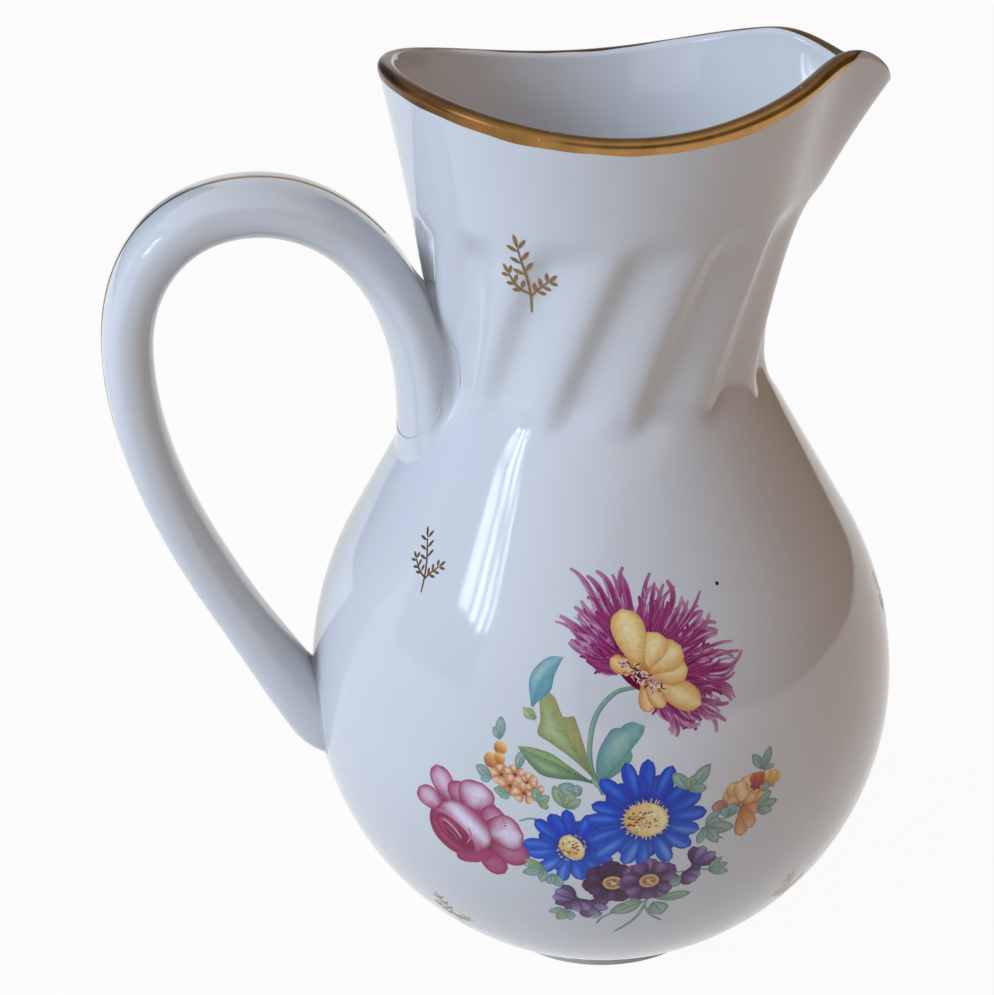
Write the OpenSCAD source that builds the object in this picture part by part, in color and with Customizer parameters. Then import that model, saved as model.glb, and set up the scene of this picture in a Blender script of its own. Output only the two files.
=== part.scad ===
// Milk jug: a round-bellied jug with a fluted neck, a wavy rim with a small beak, and a strap handle.
// Millimetres. The origin is the middle of the foot on the table, +Z is up and +X is the spout.

/* [Foot and belly] */
// Diameter of the foot ring
foot_d = 44; // [40:1:54]
// Width of the resting face of the foot ring
foot_ring_w = 4.5; // [3:0.5:8]
// Depth of the recess under the floor
foot_recess = 2.2; // [1:0.1:3]
// Widest diameter of the belly
belly_d = 117; // [110:1:126]
// Height of the widest part of the belly
belly_z = 57.5; // [54:0.5:60]
// Radius of the arc that runs from the foot up to the belly
belly_low_r = 60; // [59:0.5:64]
// Radius of the arc that runs from the belly up to the shoulder
shoulder_r = 67; // [64:0.5:70]
// Tilt of the straight shoulder from the vertical
shoulder_tilt = 29.5; // [28:0.5:31]
// Thickness of the belly wall
wall = 4; // [3:0.25:5]
// Thickness of the floor
floor_t = 4.5; // [3:0.5:7]

/* [Neck] */
// Diameter of the waist
waist_d = 64.6; // [62:0.2:67]
// Radius of the cove between shoulder and waist
cove_r = 12.5; // [10:0.5:15]
// Number of flutes around the neck
flutes = 13; // [9:1:16]
// Depth of a flute
flute_depth = 1.6; // [0.4:0.1:1.8]
// Turn of a flute for each millimetre of height, in degrees
flute_twist = 0.75; // [0:0.05:1.2]
// Height of the fluted belt
flute_h = 42; // [28:1:46]
// Distance from the waist down to the lower end of the flutes
flute_drop = 8.5; // [6:0.5:9]

/* [Mouth] */
// Radius from which the mouth swells
mouth_r = 32; // [30:0.5:34]
// Swell of the mouth over the handle
back_swell = 7.4; // [5:0.2:9]
// Swell of the mouth towards the spout
spout_swell = 11.9; // [9:0.1:14]
// Reach of the beak beyond the mouth
beak_reach = 11.3; // [6:0.1:14]
// Lowest level of the rim
rim_low_z = 174.9; // [172:0.1:177]
// Rise of the rim over the handle
back_rise = 9.3; // [4:0.1:12]
// Rise of the rim beside the beak
spout_rise = 10.5; // [5:0.1:12]
// Droop of the tip of the beak
beak_droop = 5.3; // [2:0.1:7]
// Thickness of the lip
lip_t = 3.4; // [2.6:0.1:4.4]

/* [Handle] */
// Distance from the axis to the middle of the handle where it stands out most
handle_reach = 90.6; // [86:0.5:96]
// Height of that place
handle_reach_z = 131; // [126:0.5:136]
// Distance from the axis to the top of the handle
handle_top_x = 66; // [62:0.5:70]
// Height of the middle of the strap at the top
handle_top_z = 158.7; // [155.5:0.2:161.5]
// Distance from the axis to the tail that lies on the neck
handle_tail_x = 34.6; // [34:0.1:36]
// Height at which the tail has turned straight down
handle_tail_z = 116.5; // [114.5:0.5:119.5]
// Distance from the axis to the middle of the strap where it turns in to the belly
handle_low_x = 59.1; // [58:0.1:61]
// Height of that place
handle_low_z = 54.5; // [52:0.5:57]
// Radius of that turn
handle_turn_r = 9; // [8:0.5:12]
// Tilt of the lower part of the handle from the vertical
handle_low_tilt = 31.5; // [28:0.5:35]
// Thickness of the strap in the middle
strap_t = 9.7; // [8:0.1:11]
// Breadth of the strap in the middle
strap_b = 18; // [15:0.5:21]
// Breadth of the strap at the upper joint
tail_b = 25; // [22:0.5:28]
// Breadth of the strap at the lower joint
low_b = 20; // [17:0.5:23]
// Thickness of the slip that beds the handle on the body
lute_t = 0.4; // [0.3:0.05:0.8]
// Width of the slip bead around a joint, as a share of the joint
lute_bead = 0.1; // [0.05:0.01:0.14]

/* [Gilding] */
// Thickness of the gilding
gilt_t = 0.12; // [0.08:0.01:0.2]
// Height of the gilt band on the outside of the rim
gilt_band = 3; // [2.6:0.1:6]
// Width of the gilt line on the back of the handle
gilt_line_w = 1.1; // [0.6:0.1:2]

/* [Transfers] */
// Thickness of the fired enamel
film_t = 0.12; // [0.08:0.01:0.2]
// Direction in which the spray of flowers faces
spray_turn = -101; // [-120:1:-60]
// Height of the middle of the spray
spray_z = 55.5; // [52:0.5:60]
// Height of the spray
spray_h = 80; // [70:1:90]
// Length of a gilt sprig
sprig_l = 11.5; // [9:0.5:16]

/* [View] */
// Node to draw

/* [Hidden] */
$fn = 96;

// Turned profile: the belly arcs, the straight shoulder and the cove share these places
foot_r = foot_d / 2;
belly_r = belly_d / 2;
waist_r = waist_d / 2;
lip_r = lip_t / 2;
floor_z = foot_recess + floor_t;
belly_low_x = belly_r - belly_low_r;
shoulder_x = belly_r - shoulder_r;
shoulder_end_r = shoulder_x + shoulder_r * cos(shoulder_tilt);
shoulder_end_z = belly_z + shoulder_r * sin(shoulder_tilt);
cove_end_r = waist_r + cove_r * (1 - cos(shoulder_tilt));
cove_end_z = shoulder_end_z + (shoulder_end_r - cove_end_r) / tan(shoulder_tilt);
waist_z = cove_end_z + cove_r * sin(shoulder_tilt);
neck_drop = 0.4 * cove_r;
neck_z = cove_end_z - neck_drop;
neck_r = cove_end_r + neck_drop * tan(shoulder_tilt);
wall_across = wall / cos(shoulder_tilt);

// Steps around the neck
steps = flutes * 8;

// Steps around the strap, and the roundness of its edges
strap_steps = 24;
strap_round = 2.5;

clay = [0.86, 0.89, 0.94];
slip = [0.82, 0.85, 0.90];
gilt = [0.69, 0.50, 0.28];

function mix(a, b, t) = a + (b - a) * t;
function held(t) = min(1, max(0, t));
function eased(t) = held(t) * held(t) * (3 - 2 * held(t));
function part_of(t) = t - floor(t);

// Faces between neighbouring rings of n points, the ring list open or closed on itself
function band_faces(n, rings, closed) = [
    for (j = [0 : rings - (closed ? 1 : 2)]) for (i = [0 : n - 1])
        let (k = (j + 1) % rings, m = (i + 1) % n)
        each [[j * n + i, j * n + m, k * n + i], [j * n + m, k * n + m, k * n + i]]
];

// Faces of a fan from point c to the ring that starts at point s
function fan_faces(n, s, c, flip) = [
    for (i = [0 : n - 1]) let (a = s + i, b = s + (i + 1) % n) flip ? [c, a, b] : [c, b, a]
];

// Shares of the way round: 1 at the spout, or 1 over the handle
function to_spout(a) = (1 + cos(a)) / 2;
function to_back(a) = (1 - cos(a)) / 2;

// Angle of a section of the neck; the sections crowd together towards the spout
function ring_a(i) = let (a = 360 * i / steps) a - 20 * sin(a);

// The crest of the rim, drawn in plan and in height, and the beak that narrows as it climbs
function beak(a, s) = beak_reach * pow(to_spout(a), mix(30, 325, s));
function crest_r(a, s = 1) =
    mouth_r + back_swell * pow(to_back(a), 1.6) + spout_swell * pow(to_spout(a), 2.7) + beak(a, s);
function crest_z(a) =
    rim_low_z + back_rise * pow(to_back(a), 3.2) + spout_rise * pow(to_spout(a), 4.75)
    - beak_droop * pow(to_spout(a), 67);

// Radius of the plain outside at an angle and a height
function flare_s(a, z) = held((z - waist_z) / (crest_z(a) - lip_r - waist_z));
function plain_r(a, z) =
    z < belly_z ? belly_low_x + sqrt(max(0, belly_low_r * belly_low_r - (z - belly_z) * (z - belly_z)))
    : z < shoulder_end_z ? shoulder_x + sqrt(shoulder_r * shoulder_r - (z - belly_z) * (z - belly_z))
    : z < cove_end_z ? shoulder_end_r - (z - shoulder_end_z) * tan(shoulder_tilt)
    : z < waist_z ? waist_r + cove_r - sqrt(cove_r * cove_r - (z - waist_z) * (z - waist_z))
    : let (s = flare_s(a, z)) waist_r + (crest_r(a, s) + lip_r - waist_r) * pow(s, 1.4);

// A flute falls away quickly on one side and rises slowly on the other
flute_turn = -118;
flute_fall = 0.34;
function flute_shape(p) =
    p < flute_fall ? (1 - cos(180 * p / flute_fall)) / 2
    : (1 + cos(180 * (p - flute_fall) / (1 - flute_fall))) / 2;
function flute_fade(h) = eased(h / flute_h / 0.23) * eased((1 - h / flute_h) / 0.17);
function flute(a, z) =
    let (h = z - waist_z + flute_drop)
    flute_depth * flute_fade(h)
    * flute_shape(part_of((a - flute_turn - flute_twist * (z - waist_z)) * flutes / 360));
function outer_r(a, z) = plain_r(a, z) - flute(a, z);
function inner_r(a, z) =
    plain_r(a, z) - mix(wall_across, lip_t, held((z - neck_z) / (rim_low_z - neck_z)));

function on_body(a, z, out = 0) = let (r = outer_r(a, z) + out) [r * cos(a), r * sin(a), z];
function on_plain(a, z, out = 0) = let (r = plain_r(a, z) + out) [r * cos(a), r * sin(a), z];

// Rim section, as places from the edge of the gilding over the lip to the inside
lip_turns = [0 : 30 : 180];
function lip_point(a, turn, out) =
    let (r = crest_r(a) + (lip_r + out) * cos(turn))
    [r * cos(a), r * sin(a), crest_z(a) - lip_r + (lip_r + out) * sin(turn)];
function rim_section(a, out = 0) =
    concat([on_body(a, crest_z(a) - gilt_band, out)], [for (t = lip_turns) lip_point(a, t, out)]);

// Neck section, from its root inside the shoulder up the outside, over the lip and down the inside.
// At the shoulder the neck is thinner by a hair on both faces, which dies out at the waist.
root_depth = wall / 4;
root_step = 0.0875 * wall;
seam = wall / 40;
function step_in(z) = root_step * held((waist_z - z) / (waist_z - neck_z));
function ring_point(a, r, z) = [r * cos(a), r * sin(a), z];
neck_shares = [0.05, 0.11, 0.17, 0.23, 0.30, 0.37, 0.44, 0.52, 0.60, 0.70, 0.80];
inside_shares = [0.8, 0.6, 0.4, 0.2, 0];
function share_z(a, s) = waist_z + s * (crest_z(a) - lip_r - waist_z);
function on_inside(a, z, out = 0) = let (r = inner_r(a, z) + out) [r * cos(a), r * sin(a), z];
function neck_section(a) = concat(
    [ring_point(a, plain_r(a, neck_z) - root_step, neck_z - root_depth)],
    [for (z = [neck_z + seam, mix(neck_z, cove_end_z, 0.55), cove_end_z, mix(cove_end_z, waist_z, 0.4),
        mix(cove_end_z, waist_z, 0.7), waist_z]) on_body(a, z, -step_in(z))],
    [for (s = neck_shares) on_body(a, share_z(a, s))],
    rim_section(a),
    [for (s = inside_shares) on_inside(a, share_z(a, s))],
    [for (z = [cove_end_z, neck_z + seam]) on_inside(a, z, step_in(z))],
    [ring_point(a, inner_r(a, neck_z) + root_step, neck_z - root_depth)]
);

// Middle line of the handle: three curves, a turn into the belly before them and a straight tail after them
low_dir = [-sin(handle_low_tilt), cos(handle_low_tilt)];
low_end = [-handle_low_x, handle_low_z];
far_out = [-handle_reach, handle_reach_z];
top_end = [-handle_top_x, handle_top_z];
tail_end = [-handle_tail_x, handle_tail_z];
low_rise = handle_reach_z - handle_low_z;
top_rise = handle_top_z - handle_reach_z;
top_run = handle_reach - handle_top_x;
tail_run = handle_top_x - handle_tail_x;
tail_fall = handle_top_z - handle_tail_z;
curves = [
    [low_end, low_end + 0.408 * low_rise * low_dir, far_out - [0, 0.351 * low_rise], far_out],
    [far_out, far_out + [0, 0.6065 * top_rise], top_end - [0.61 * top_run, 0], top_end],
    [top_end, top_end + [0.573 * tail_run, 0], tail_end + [0, 0.569 * tail_fall], tail_end]
];
function curve_at(c, t) =
    pow(1 - t, 3) * c[0] + 3 * pow(1 - t, 2) * t * c[1] + 3 * (1 - t) * t * t * c[2] + pow(t, 3) * c[3];
function low_turn(a) = handle_turn_r * [cos(a), sin(a)];
function middle(u) =
    u < 0 ? low_end + low_turn(180 + handle_low_tilt - 100 * u) - low_turn(180 + handle_low_tilt)
    : u > 3 ? tail_end - [0, 1.42 * tail_fall * (u - 3)]
    : let (k = min(2, floor(u))) curve_at(curves[k], u - k);
function heading(u) = let (d = middle(u + 0.01) - middle(u - 0.01)) d / norm(d);

// Strap section along the handle
function strap_half_t(u) = strap_t / 2
    * lookup(u, [[0, 1.165], [0.3, 0.98], [0.6, 0.96], [1, 1], [1.6, 1.113], [2.1, 1.113],
        [2.6, 1.072], [3, 1.062]]);
function strap_half_b(u) = lookup(u, [[0, low_b], [0.35, 0.97 * strap_b], [1, strap_b],
    [1.8, 1.11 * strap_b], [2.3, mix(strap_b, tail_b, 0.5)], [2.75, tail_b], [3, tail_b]]) / 2;
function wrap(u) = eased((u - 2.1) / 0.6);
function rounded(v) = sign(v) * pow(abs(v), 2 / strap_round);

// A point of the strap: the section stands square to the middle line, and hugs the neck along the tail
function strap_point(u, turn, out = 0) =
    let (
        c = middle(u),
        d = heading(u),
        across = strap_half_b(u) * rounded(sin(turn)),
        off = strap_half_t(u) * rounded(cos(turn)) + out,
        x = c[0] - off * d[1],
        z = c[1] + off * d[0],
        hug = across / c[0] * 180 / PI,
        flat = [x, across, z],
        hugging = [x * cos(hug), x * sin(hug), z]
    ) mix(flat, hugging, wrap(u));
function angle_of(p) = let (a = atan2(p[1], p[0])) a < 0 ? a + 360 : a;
function clear_of(p) = norm([p[0], p[1]]) - plain_r(angle_of(p), p[2]) - lute_t;

// Where a line along the strap meets its bed on the body, by halving the way between u and v
function meet(turn, u, v, n = 22) =
    n == 0 ? (u + v) / 2
    : let (m = (u + v) / 2)
        clear_of(strap_point(m, turn)) > 0 ? meet(turn, m, v, n - 1) : meet(turn, u, m, n - 1);

strap_turns = [for (i = [0 : strap_steps - 1]) 360 * i / strap_steps];
low_from = 0.36;
tail_from = 2.46;
low_meets = [for (t = strap_turns) meet(t, low_from, -0.7)];
tail_meets = [for (t = strap_turns) meet(t, tail_from, 3.6)];
low_loop = [for (i = [0 : strap_steps - 1]) strap_point(low_meets[i], strap_turns[i])];
tail_loop = [for (i = [0 : strap_steps - 1]) strap_point(tail_meets[i], strap_turns[i])];
run_us = [for (u = [low_from : 0.06 : tail_from + 0.001]) u];

// Beds of the joints: rings that shrink from the loop to its middle, all laid on the body
function loop_middle(loop) =
    let (a = [for (p = loop) angle_of(p)], z = [for (p = loop) p[2]])
    [(min(a) + max(a)) / 2, (min(z) + max(z)) / 2];
function bed_place(loop, i, share) =
    let (m = loop_middle(loop)) [mix(m[0], angle_of(loop[i]), share), mix(m[1], loop[i][2], share)];
function bed_ring(loop, share) =
    [for (i = [0 : strap_steps - 1]) let (q = bed_place(loop, i, share)) on_plain(q[0], q[1], lute_t)];
function under_ring(loop, share, out = 0) =
    [for (i = [0 : strap_steps - 1]) let (q = bed_place(loop, i, share)) on_body(q[0], q[1], out)];
bed_shares = [0.34, 0.67];

// Body

// Half profile of the turned part, drawn in by a distance for the inside
module turned_half(inset, bottom) {
    intersection() {
        translate([belly_low_x, belly_z])
            circle(belly_low_r - inset);
        translate([0, bottom])
            square([belly_r, belly_z - bottom]);
    }
    intersection() {
        translate([shoulder_x, belly_z])
            circle(shoulder_r - inset);
        translate([0, belly_z])
            square([belly_r, shoulder_end_z - inset * sin(shoulder_tilt) - belly_z]);
    }
    polygon([
        [0, shoulder_end_z - inset * sin(shoulder_tilt)],
        [shoulder_end_r - inset * cos(shoulder_tilt), shoulder_end_z - inset * sin(shoulder_tilt)],
        [neck_r - inset / cos(shoulder_tilt), neck_z],
        [0, neck_z]
    ]);
}

module turned_body() {
    rotate_extrude()
        difference() {
            union() {
                turned_half(0, 0);
                square([foot_r, floor_z]);
            }
            turned_half(wall, floor_z);
            square([foot_r - foot_ring_w, foot_recess]);
        }
}

module neck() {
    sections = [for (i = [0 : steps - 1]) neck_section(ring_a(i))];
    n = len(sections[0]);
    polyhedron(points = [for (s = sections) each s], faces = band_faces(n, steps, true));
}

module jug_body() {
    color(clay) {
        turned_body();
        neck();
    }
}

// Handle and its joints

module handle() {
    rings = concat(
        [for (s = bed_shares) bed_ring(low_loop, s)],
        [for (k = [0 : 5]) [for (i = [0 : strap_steps - 1])
            strap_point(mix(low_meets[i], low_from, k / 6), strap_turns[i])]],
        [for (u = run_us) [for (t = strap_turns) strap_point(u, t)]],
        [for (k = [1 : 8]) [for (i = [0 : strap_steps - 1])
            strap_point(mix(tail_from, tail_meets[i], k / 8), strap_turns[i])]],
        [for (s = [1, 0]) bed_ring(tail_loop, bed_shares[s])]
    );
    low_m = loop_middle(low_loop);
    tail_m = loop_middle(tail_loop);
    n = strap_steps;
    count = len(rings);
    color(clay)
        polyhedron(
            points = concat([for (r = rings) each r],
                [on_plain(low_m[0], low_m[1], lute_t), on_plain(tail_m[0], tail_m[1], lute_t)]),
            faces = concat(band_faces(n, count, false),
                fan_faces(n, 0, n * count, false),
                fan_faces(n, n * (count - 1), n * count + 1, true))
        );
}

// Slip between a joint and the body, with a low bead around the joint
module lute(loop) {
    rings = concat(
        [for (s = bed_shares) bed_ring(loop, s)],
        [loop, under_ring(loop, 1 + lute_bead, lute_t / 4)],
        [for (s = [1 + lute_bead, 1, bed_shares[1], bed_shares[0]]) under_ring(loop, s)]
    );
    m = loop_middle(loop);
    n = strap_steps;
    count = len(rings);
    color(slip)
        polyhedron(
            points = concat([for (r = rings) each r], [on_plain(m[0], m[1], lute_t), on_body(m[0], m[1])]),
            faces = concat(band_faces(n, count, false),
                fan_faces(n, 0, n * count, false),
                fan_faces(n, n * (count - 1), n * count + 1, true))
        );
}

module upper_lute() {
    lute(tail_loop);
}

module lower_lute() {
    lute([for (i = [strap_steps - 1 : -1 : 0]) low_loop[i]]);
}

// Gilding

// The gold ends on the inner slope of the lip
gilt_last = 5;

module gilt_rim() {
    sections = [for (i = [0 : steps - 1])
        let (s = rim_section(ring_a(i)), o = rim_section(ring_a(i), gilt_t))
        concat([for (k = [0 : gilt_last]) o[k]], [for (k = [gilt_last : -1 : 0]) s[k]])];
    n = len(sections[0]);
    color(gilt)
        polyhedron(points = [for (s = sections) each s], faces = band_faces(n, steps, true));
}

// The line follows the back of the strap, whose facets meet along its middle
module gilt_handle_line() {
    turn = 360 / strap_steps;
    sections = [for (u = run_us)
        let (
            share = gilt_line_w / 2 / (strap_half_b(u) * rounded(sin(turn))),
            lift = [-heading(u)[1], 0, heading(u)[0]] * gilt_t,
            m = strap_point(u, 0),
            l = mix(m, strap_point(u, -turn), share),
            r = mix(m, strap_point(u, turn), share)
        ) [l + lift, m + lift, r + lift, r, m, l]];
    n = 6;
    count = len(sections);
    color(gilt)
        polyhedron(
            points = [for (s = sections) each s],
            faces = concat(band_faces(n, count, false),
                [[5, 4, 3, 2, 1, 0]],
                [[for (i = [0 : 5]) n * (count - 1) + i]])
        );
}

// Transfers

// The film lies on the lower belly, the upper belly and the shoulder, and parts by a hair where these meet
film_part = film_t / 2;
film_lows = [floor_z, belly_z + film_part, shoulder_end_z + 3 * film_part];
film_highs = [belly_z - film_part, shoulder_end_z - film_part, neck_z - 1];

module film_half(k) {
    intersection() {
        difference() {
            turned_half(-film_t, floor_z, $fn = 240);
            turned_half(0, floor_z, $fn = 240);
        }
        translate([0, film_lows[k]])
            square([belly_d, film_highs[k] - film_lows[k]]);
    }
}

// Thin coat on the belly, cut to the shape drawn flat in front of it.
// The shape runs from a drop below its height to a rise above it.
module coat(turn, height, drop, rise, size = 1) {
    for (k = [0 : 2])
        if (height - drop * size < film_highs[k] && height + rise * size > film_lows[k])
            intersection() {
                rotate_extrude($fn = 240)
                    film_half(k);
                rotate([0, 0, turn + 90])
                    translate([0, 0, height])
                        rotate([90, 0, 0])
                            linear_extrude(belly_d)
                                scale(size)
                                    children();
            }
}

// Pointed leaf of a length and breadth, from the origin up
module leaf(length, breadth) {
    r = (length * length + breadth * breadth) / breadth / 4;
    intersection() {
        translate([r - breadth / 2, length / 2])
            circle(r);
        translate([breadth / 2 - r, length / 2])
            circle(r);
    }
}

// Ring of pointed petals that leaves its middle free
module petals(count, r_in, r_out, breadth) {
    for (i = [0 : count - 1])
        rotate(360 * i / count)
            translate([0, r_in])
                leaf(r_out - r_in, breadth);
}

// The spray is drawn 80 high and then brought to its size
module spray(drop, rise) {
    coat(spray_turn, spray_z, drop, rise, spray_h / 80)
        children();
}

module at(x, y, turn = 0) {
    translate([x, y])
        rotate(turn)
            children();
}

module blue_enamel() {
    color([0.45, 0.55, 0.80])
        spray(16, 10) {
            at(8.4, -2)
                petals(13, 4.3, 12.5, 3.6);
            at(-5.3, -8.5, 8)
                petals(11, 2.8, 8.6, 2.8);
        }
}

module pink_enamel() {
    color([0.80, 0.36, 0.56])
        spray(14, 44) {
            at(11, 29)
                petals(11, 4, 15.5, 5);
            at(-24.5, -6.8)
                petals(7, 1.2, 8.4, 3.8);
        }
}

module yellow_enamel() {
    color([0.91, 0.72, 0.30])
        spray(10, 32) {
            at(8.4, -2)
                circle(3.7);
            at(-5.3, -8.5)
                circle(2.2);
            at(11, 29)
                circle(3.2);
        }
}

module orange_enamel() {
    color([0.90, 0.56, 0.32])
        spray(6, 17) {
            at(25.5, -3.6)
                petals(5, 0.9, 4.6, 2.9);
            at(-15.5, 7.6)
                petals(5, 0.9, 4.6, 2.9);
            at(-19, 13, 20)
                leaf(4.5, 2.2);
        }
}

module violet_enamel() {
    color([0.50, 0.36, 0.62])
        spray(23, -10) {
            at(1.6, -18)
                petals(5, 0.9, 4.6, 2.9);
            at(10.8, -18)
                petals(5, 0.9, 4.6, 2.9);
            at(18.5, -15, -60)
                leaf(5, 2.6);
        }
}

module green_enamel() {
    color([0.42, 0.56, 0.38])
        spray(34, 26) {
            at(-1.2, 6.5, 62)
                leaf(12, 4.6);
            at(-1, 10, 38)
                leaf(11, 4.4);
            at(-2.5, 16, 40)
                leaf(12, 4.2);
            at(2.6, 11.5, -12)
                leaf(8.5, 3.6);
            at(6, -24.5, 150)
                leaf(9, 3);
            at(8, -24.5, 185)
                leaf(9.5, 3);
            at(31, -2, -75)
                leaf(6.5, 2.6);
            at(-11.5, -13.5, 120)
                leaf(8, 3);
        }
}

// A gilt sprig: a top leaflet, pairs of leaflets and two side shoots
module sprig() {
    l = sprig_l;
    stem_w = l * 0.035;
    translate([-stem_w / 2, -l / 2])
        square([stem_w, l * 0.75]);
    translate([0, l * 0.2])
        leaf(l * 0.3, l * 0.14);
    for (side = [-1, 1])
        for (k = [0 : 3])
            translate([0, l * (0.12 - 0.15 * k)])
                rotate(-side * 58)
                    leaf(l * 0.25, l * 0.1);
}

// Places of the sprigs: the turn from the spray, and the height as a share of the belly's
sprig_places = [[-43.6, 1.687], [-39, 0.381], [48.4, 0.443], [85, 1.313],
    [150, 1.148], [196, 1.426], [240, 0.687]];

module gilt_sprigs() {
    color(gilt)
        for (place = sprig_places)
            coat(spray_turn + place[0], place[1] * belly_z, sprig_l / 2, sprig_l / 2)
                sprig();
}

jug_body();
handle();
upper_lute();
lower_lute();
gilt_rim();
gilt_handle_line();
blue_enamel();
pink_enamel();
yellow_enamel();
orange_enamel();
violet_enamel();
green_enamel();
gilt_sprigs();
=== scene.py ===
import math
import random

import bmesh
import bpy
from mathutils import Matrix, Vector


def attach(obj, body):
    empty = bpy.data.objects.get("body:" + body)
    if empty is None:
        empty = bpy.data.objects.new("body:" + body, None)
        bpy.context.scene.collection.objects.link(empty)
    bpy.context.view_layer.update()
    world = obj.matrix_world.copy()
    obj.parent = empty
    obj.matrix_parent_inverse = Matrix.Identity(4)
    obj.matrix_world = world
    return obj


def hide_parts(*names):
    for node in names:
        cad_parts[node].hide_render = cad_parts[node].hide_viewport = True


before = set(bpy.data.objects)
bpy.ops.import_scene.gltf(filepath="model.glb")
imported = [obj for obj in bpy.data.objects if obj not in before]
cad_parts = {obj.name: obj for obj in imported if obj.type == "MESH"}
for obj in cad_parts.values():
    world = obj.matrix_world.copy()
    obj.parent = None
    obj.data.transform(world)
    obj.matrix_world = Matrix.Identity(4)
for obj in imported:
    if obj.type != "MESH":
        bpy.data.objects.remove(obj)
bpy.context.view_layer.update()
scene = bpy.context.scene
scene.view_settings.view_transform = "Standard"
mm = 0.001
weldGap = 0.002 * mm  # points closer than this are merged
print("frame loaded,", len(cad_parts), "nodes")


def mix(a, b, t):
    return a + (b - a) * t


def held(t):
    return min(1.0, max(0.0, t))


def eased(t):
    t = held(t)
    return t * t * (3 - 2 * t)


def straight(u, stops, ease=held):  # value or colour between stops
    for (u0, v0), (u1, v1) in zip(stops, stops[1:]):
        if u <= u1:
            return mix(v0, v1, ease((u - u0) / (u1 - u0)))
    return stops[-1][1]


def along(u, stops):  # smooth value between stops
    return straight(u, stops, eased)


def curved(u, stops):  # smooth line through stops
    for k, ((u0, v0), (u1, v1)) in enumerate(zip(stops, stops[1:])):
        if u <= u1:
            t = held((u - u0) / (u1 - u0))
            before = stops[k - 1][1] if k else v0
            after = stops[k + 2][1] if k + 2 < len(stops) else v1
            return max(0.0, v0 + 0.5 * t * (v1 - before + t * (2 * before - 5 * v0 + 4 * v1 - after
                                                                + t * (3 * v0 - 3 * v1 + after - before))))
    return stops[-1][1]


def cosd(a):
    return math.cos(math.radians(a))


def sind(a):
    return math.sin(math.radians(a))


def hexColour(code):  # sRGB hex to linear
    parts = [int(code[i:i + 2], 16) / 255 for i in (1, 3, 5)]
    return Vector([c / 12.92 if c <= 0.04045 else ((c + 0.055) / 1.055) ** 2.4 for c in parts] + [1])


def palette(*codes):
    return [hexColour(code) for code in codes]


def addNode(tree, kind, settings=None, inputs=None):
    made = tree.nodes.new(kind)
    for key, value in (settings or {}).items():
        setattr(made, key, value)
    for key, value in (inputs or {}).items():
        if isinstance(value, bpy.types.NodeSocket):
            tree.links.new(value, made.inputs[key])
        else:
            made.inputs[key].default_value = value
    return made


def newMaterial(name):
    made = bpy.data.materials.new(name)
    made.use_nodes = True
    made.node_tree.nodes.clear()
    return made, made.node_tree


def linkMesh(bm, name, material):
    mesh = bpy.data.meshes.new(name)
    bm.to_mesh(mesh)
    bm.free()
    made = bpy.data.objects.new(name, mesh)
    scene.collection.objects.link(made)
    mesh.materials.append(material)
    return made


def finishMesh(bm, name, material, nodes, film=0.0):
    for face in bm.faces:
        face.smooth = True
    for edge in bm.edges:  # films stay flat up to their edge
        edge.smooth = not edge.is_boundary
    piece = linkMesh(bm, name, material)
    if film:  # fired films are a closed skin, sunk a little into the glaze
        skin = piece.modifiers.new("film", "SOLIDIFY")
        skin.thickness = film * mm
        skin.offset = -1
    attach(piece, "root")
    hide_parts(*nodes)
    print(name, len(piece.data.polygons), "faces")


# turned shape, mouth and flutes of the jug, in millimetres and degrees
jug = {
    "footR": 22.0, "footRing": 4.5, "footRecess": 2.2, "footEdgeIn": 0.8, "footEdgeOut": 0.9, "footBlend": 1.5,
    "floorZ": 6.7,
    "bellyR": 58.5, "bellyZ": 57.5, "bellyLowR": 60.0, "shoulderR": 67.0, "shoulderTilt": 29.5, "wall": 4.0,
    "waistR": 32.3, "coveR": 12.5, "neckDrop": 5.0, "neckFlare": 1.4, "lipR": 1.7, "noseR": 1.0, "mouthR": 32.0,
    "backSwell": 7.4, "spoutSwell": 11.76, "beakReach": 10.7, "beakAt": -1.9, "beakFlare": 0.18,
    "rimLowZ": 174.9, "backRise": 9.3, "spoutRise": 10.1, "beakDroop": 7.2,
    "humpRise": 2.1, "humpAt": -10.8, "humpWide": 8.2,
    "flutes": 13, "fluteDepth": 1.6, "fluteTwist": 0.75, "fluteHeight": 42.0,
    "fluteDrop": 8.5, "fluteTurn": -118.0, "fluteFall": 0.34, "fluteFoot": 0.23, "fluteHead": 0.17,
    "steps": 260, "crowd": 20.0,
}
# how sharply each swell and rise gathers towards the spout or the back
sharp = {"backSwell": 1.6, "spoutSwell": 2.94, "beakFoot": 30, "beakTop": 84, "nose": 190,
         "backRise": 3.2, "spoutRise": 4.03, "beakDroop": 93}
bellyLowX = jug["bellyR"] - jug["bellyLowR"]
shoulderX = jug["bellyR"] - jug["shoulderR"]
shoulderEnd = (shoulderX + jug["shoulderR"] * cosd(jug["shoulderTilt"]),
               jug["bellyZ"] + jug["shoulderR"] * sind(jug["shoulderTilt"]))
coveEndR = jug["waistR"] + jug["coveR"] * (1 - cosd(jug["shoulderTilt"]))
coveEndZ = shoulderEnd[1] + (shoulderEnd[0] - coveEndR) / math.tan(math.radians(jug["shoulderTilt"]))
waistZ = coveEndZ + jug["coveR"] * sind(jug["shoulderTilt"])
neckZ = coveEndZ - jug["neckDrop"]
wallAcross = jug["wall"] / cosd(jug["shoulderTilt"])


def fromSpout(a):  # -180 to 180 degrees
    return (a + 180) % 360 - 180


def spoutShare(a):  # 1 at the spout, 0 over the handle
    return (1 + cosd(a)) / 2


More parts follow.
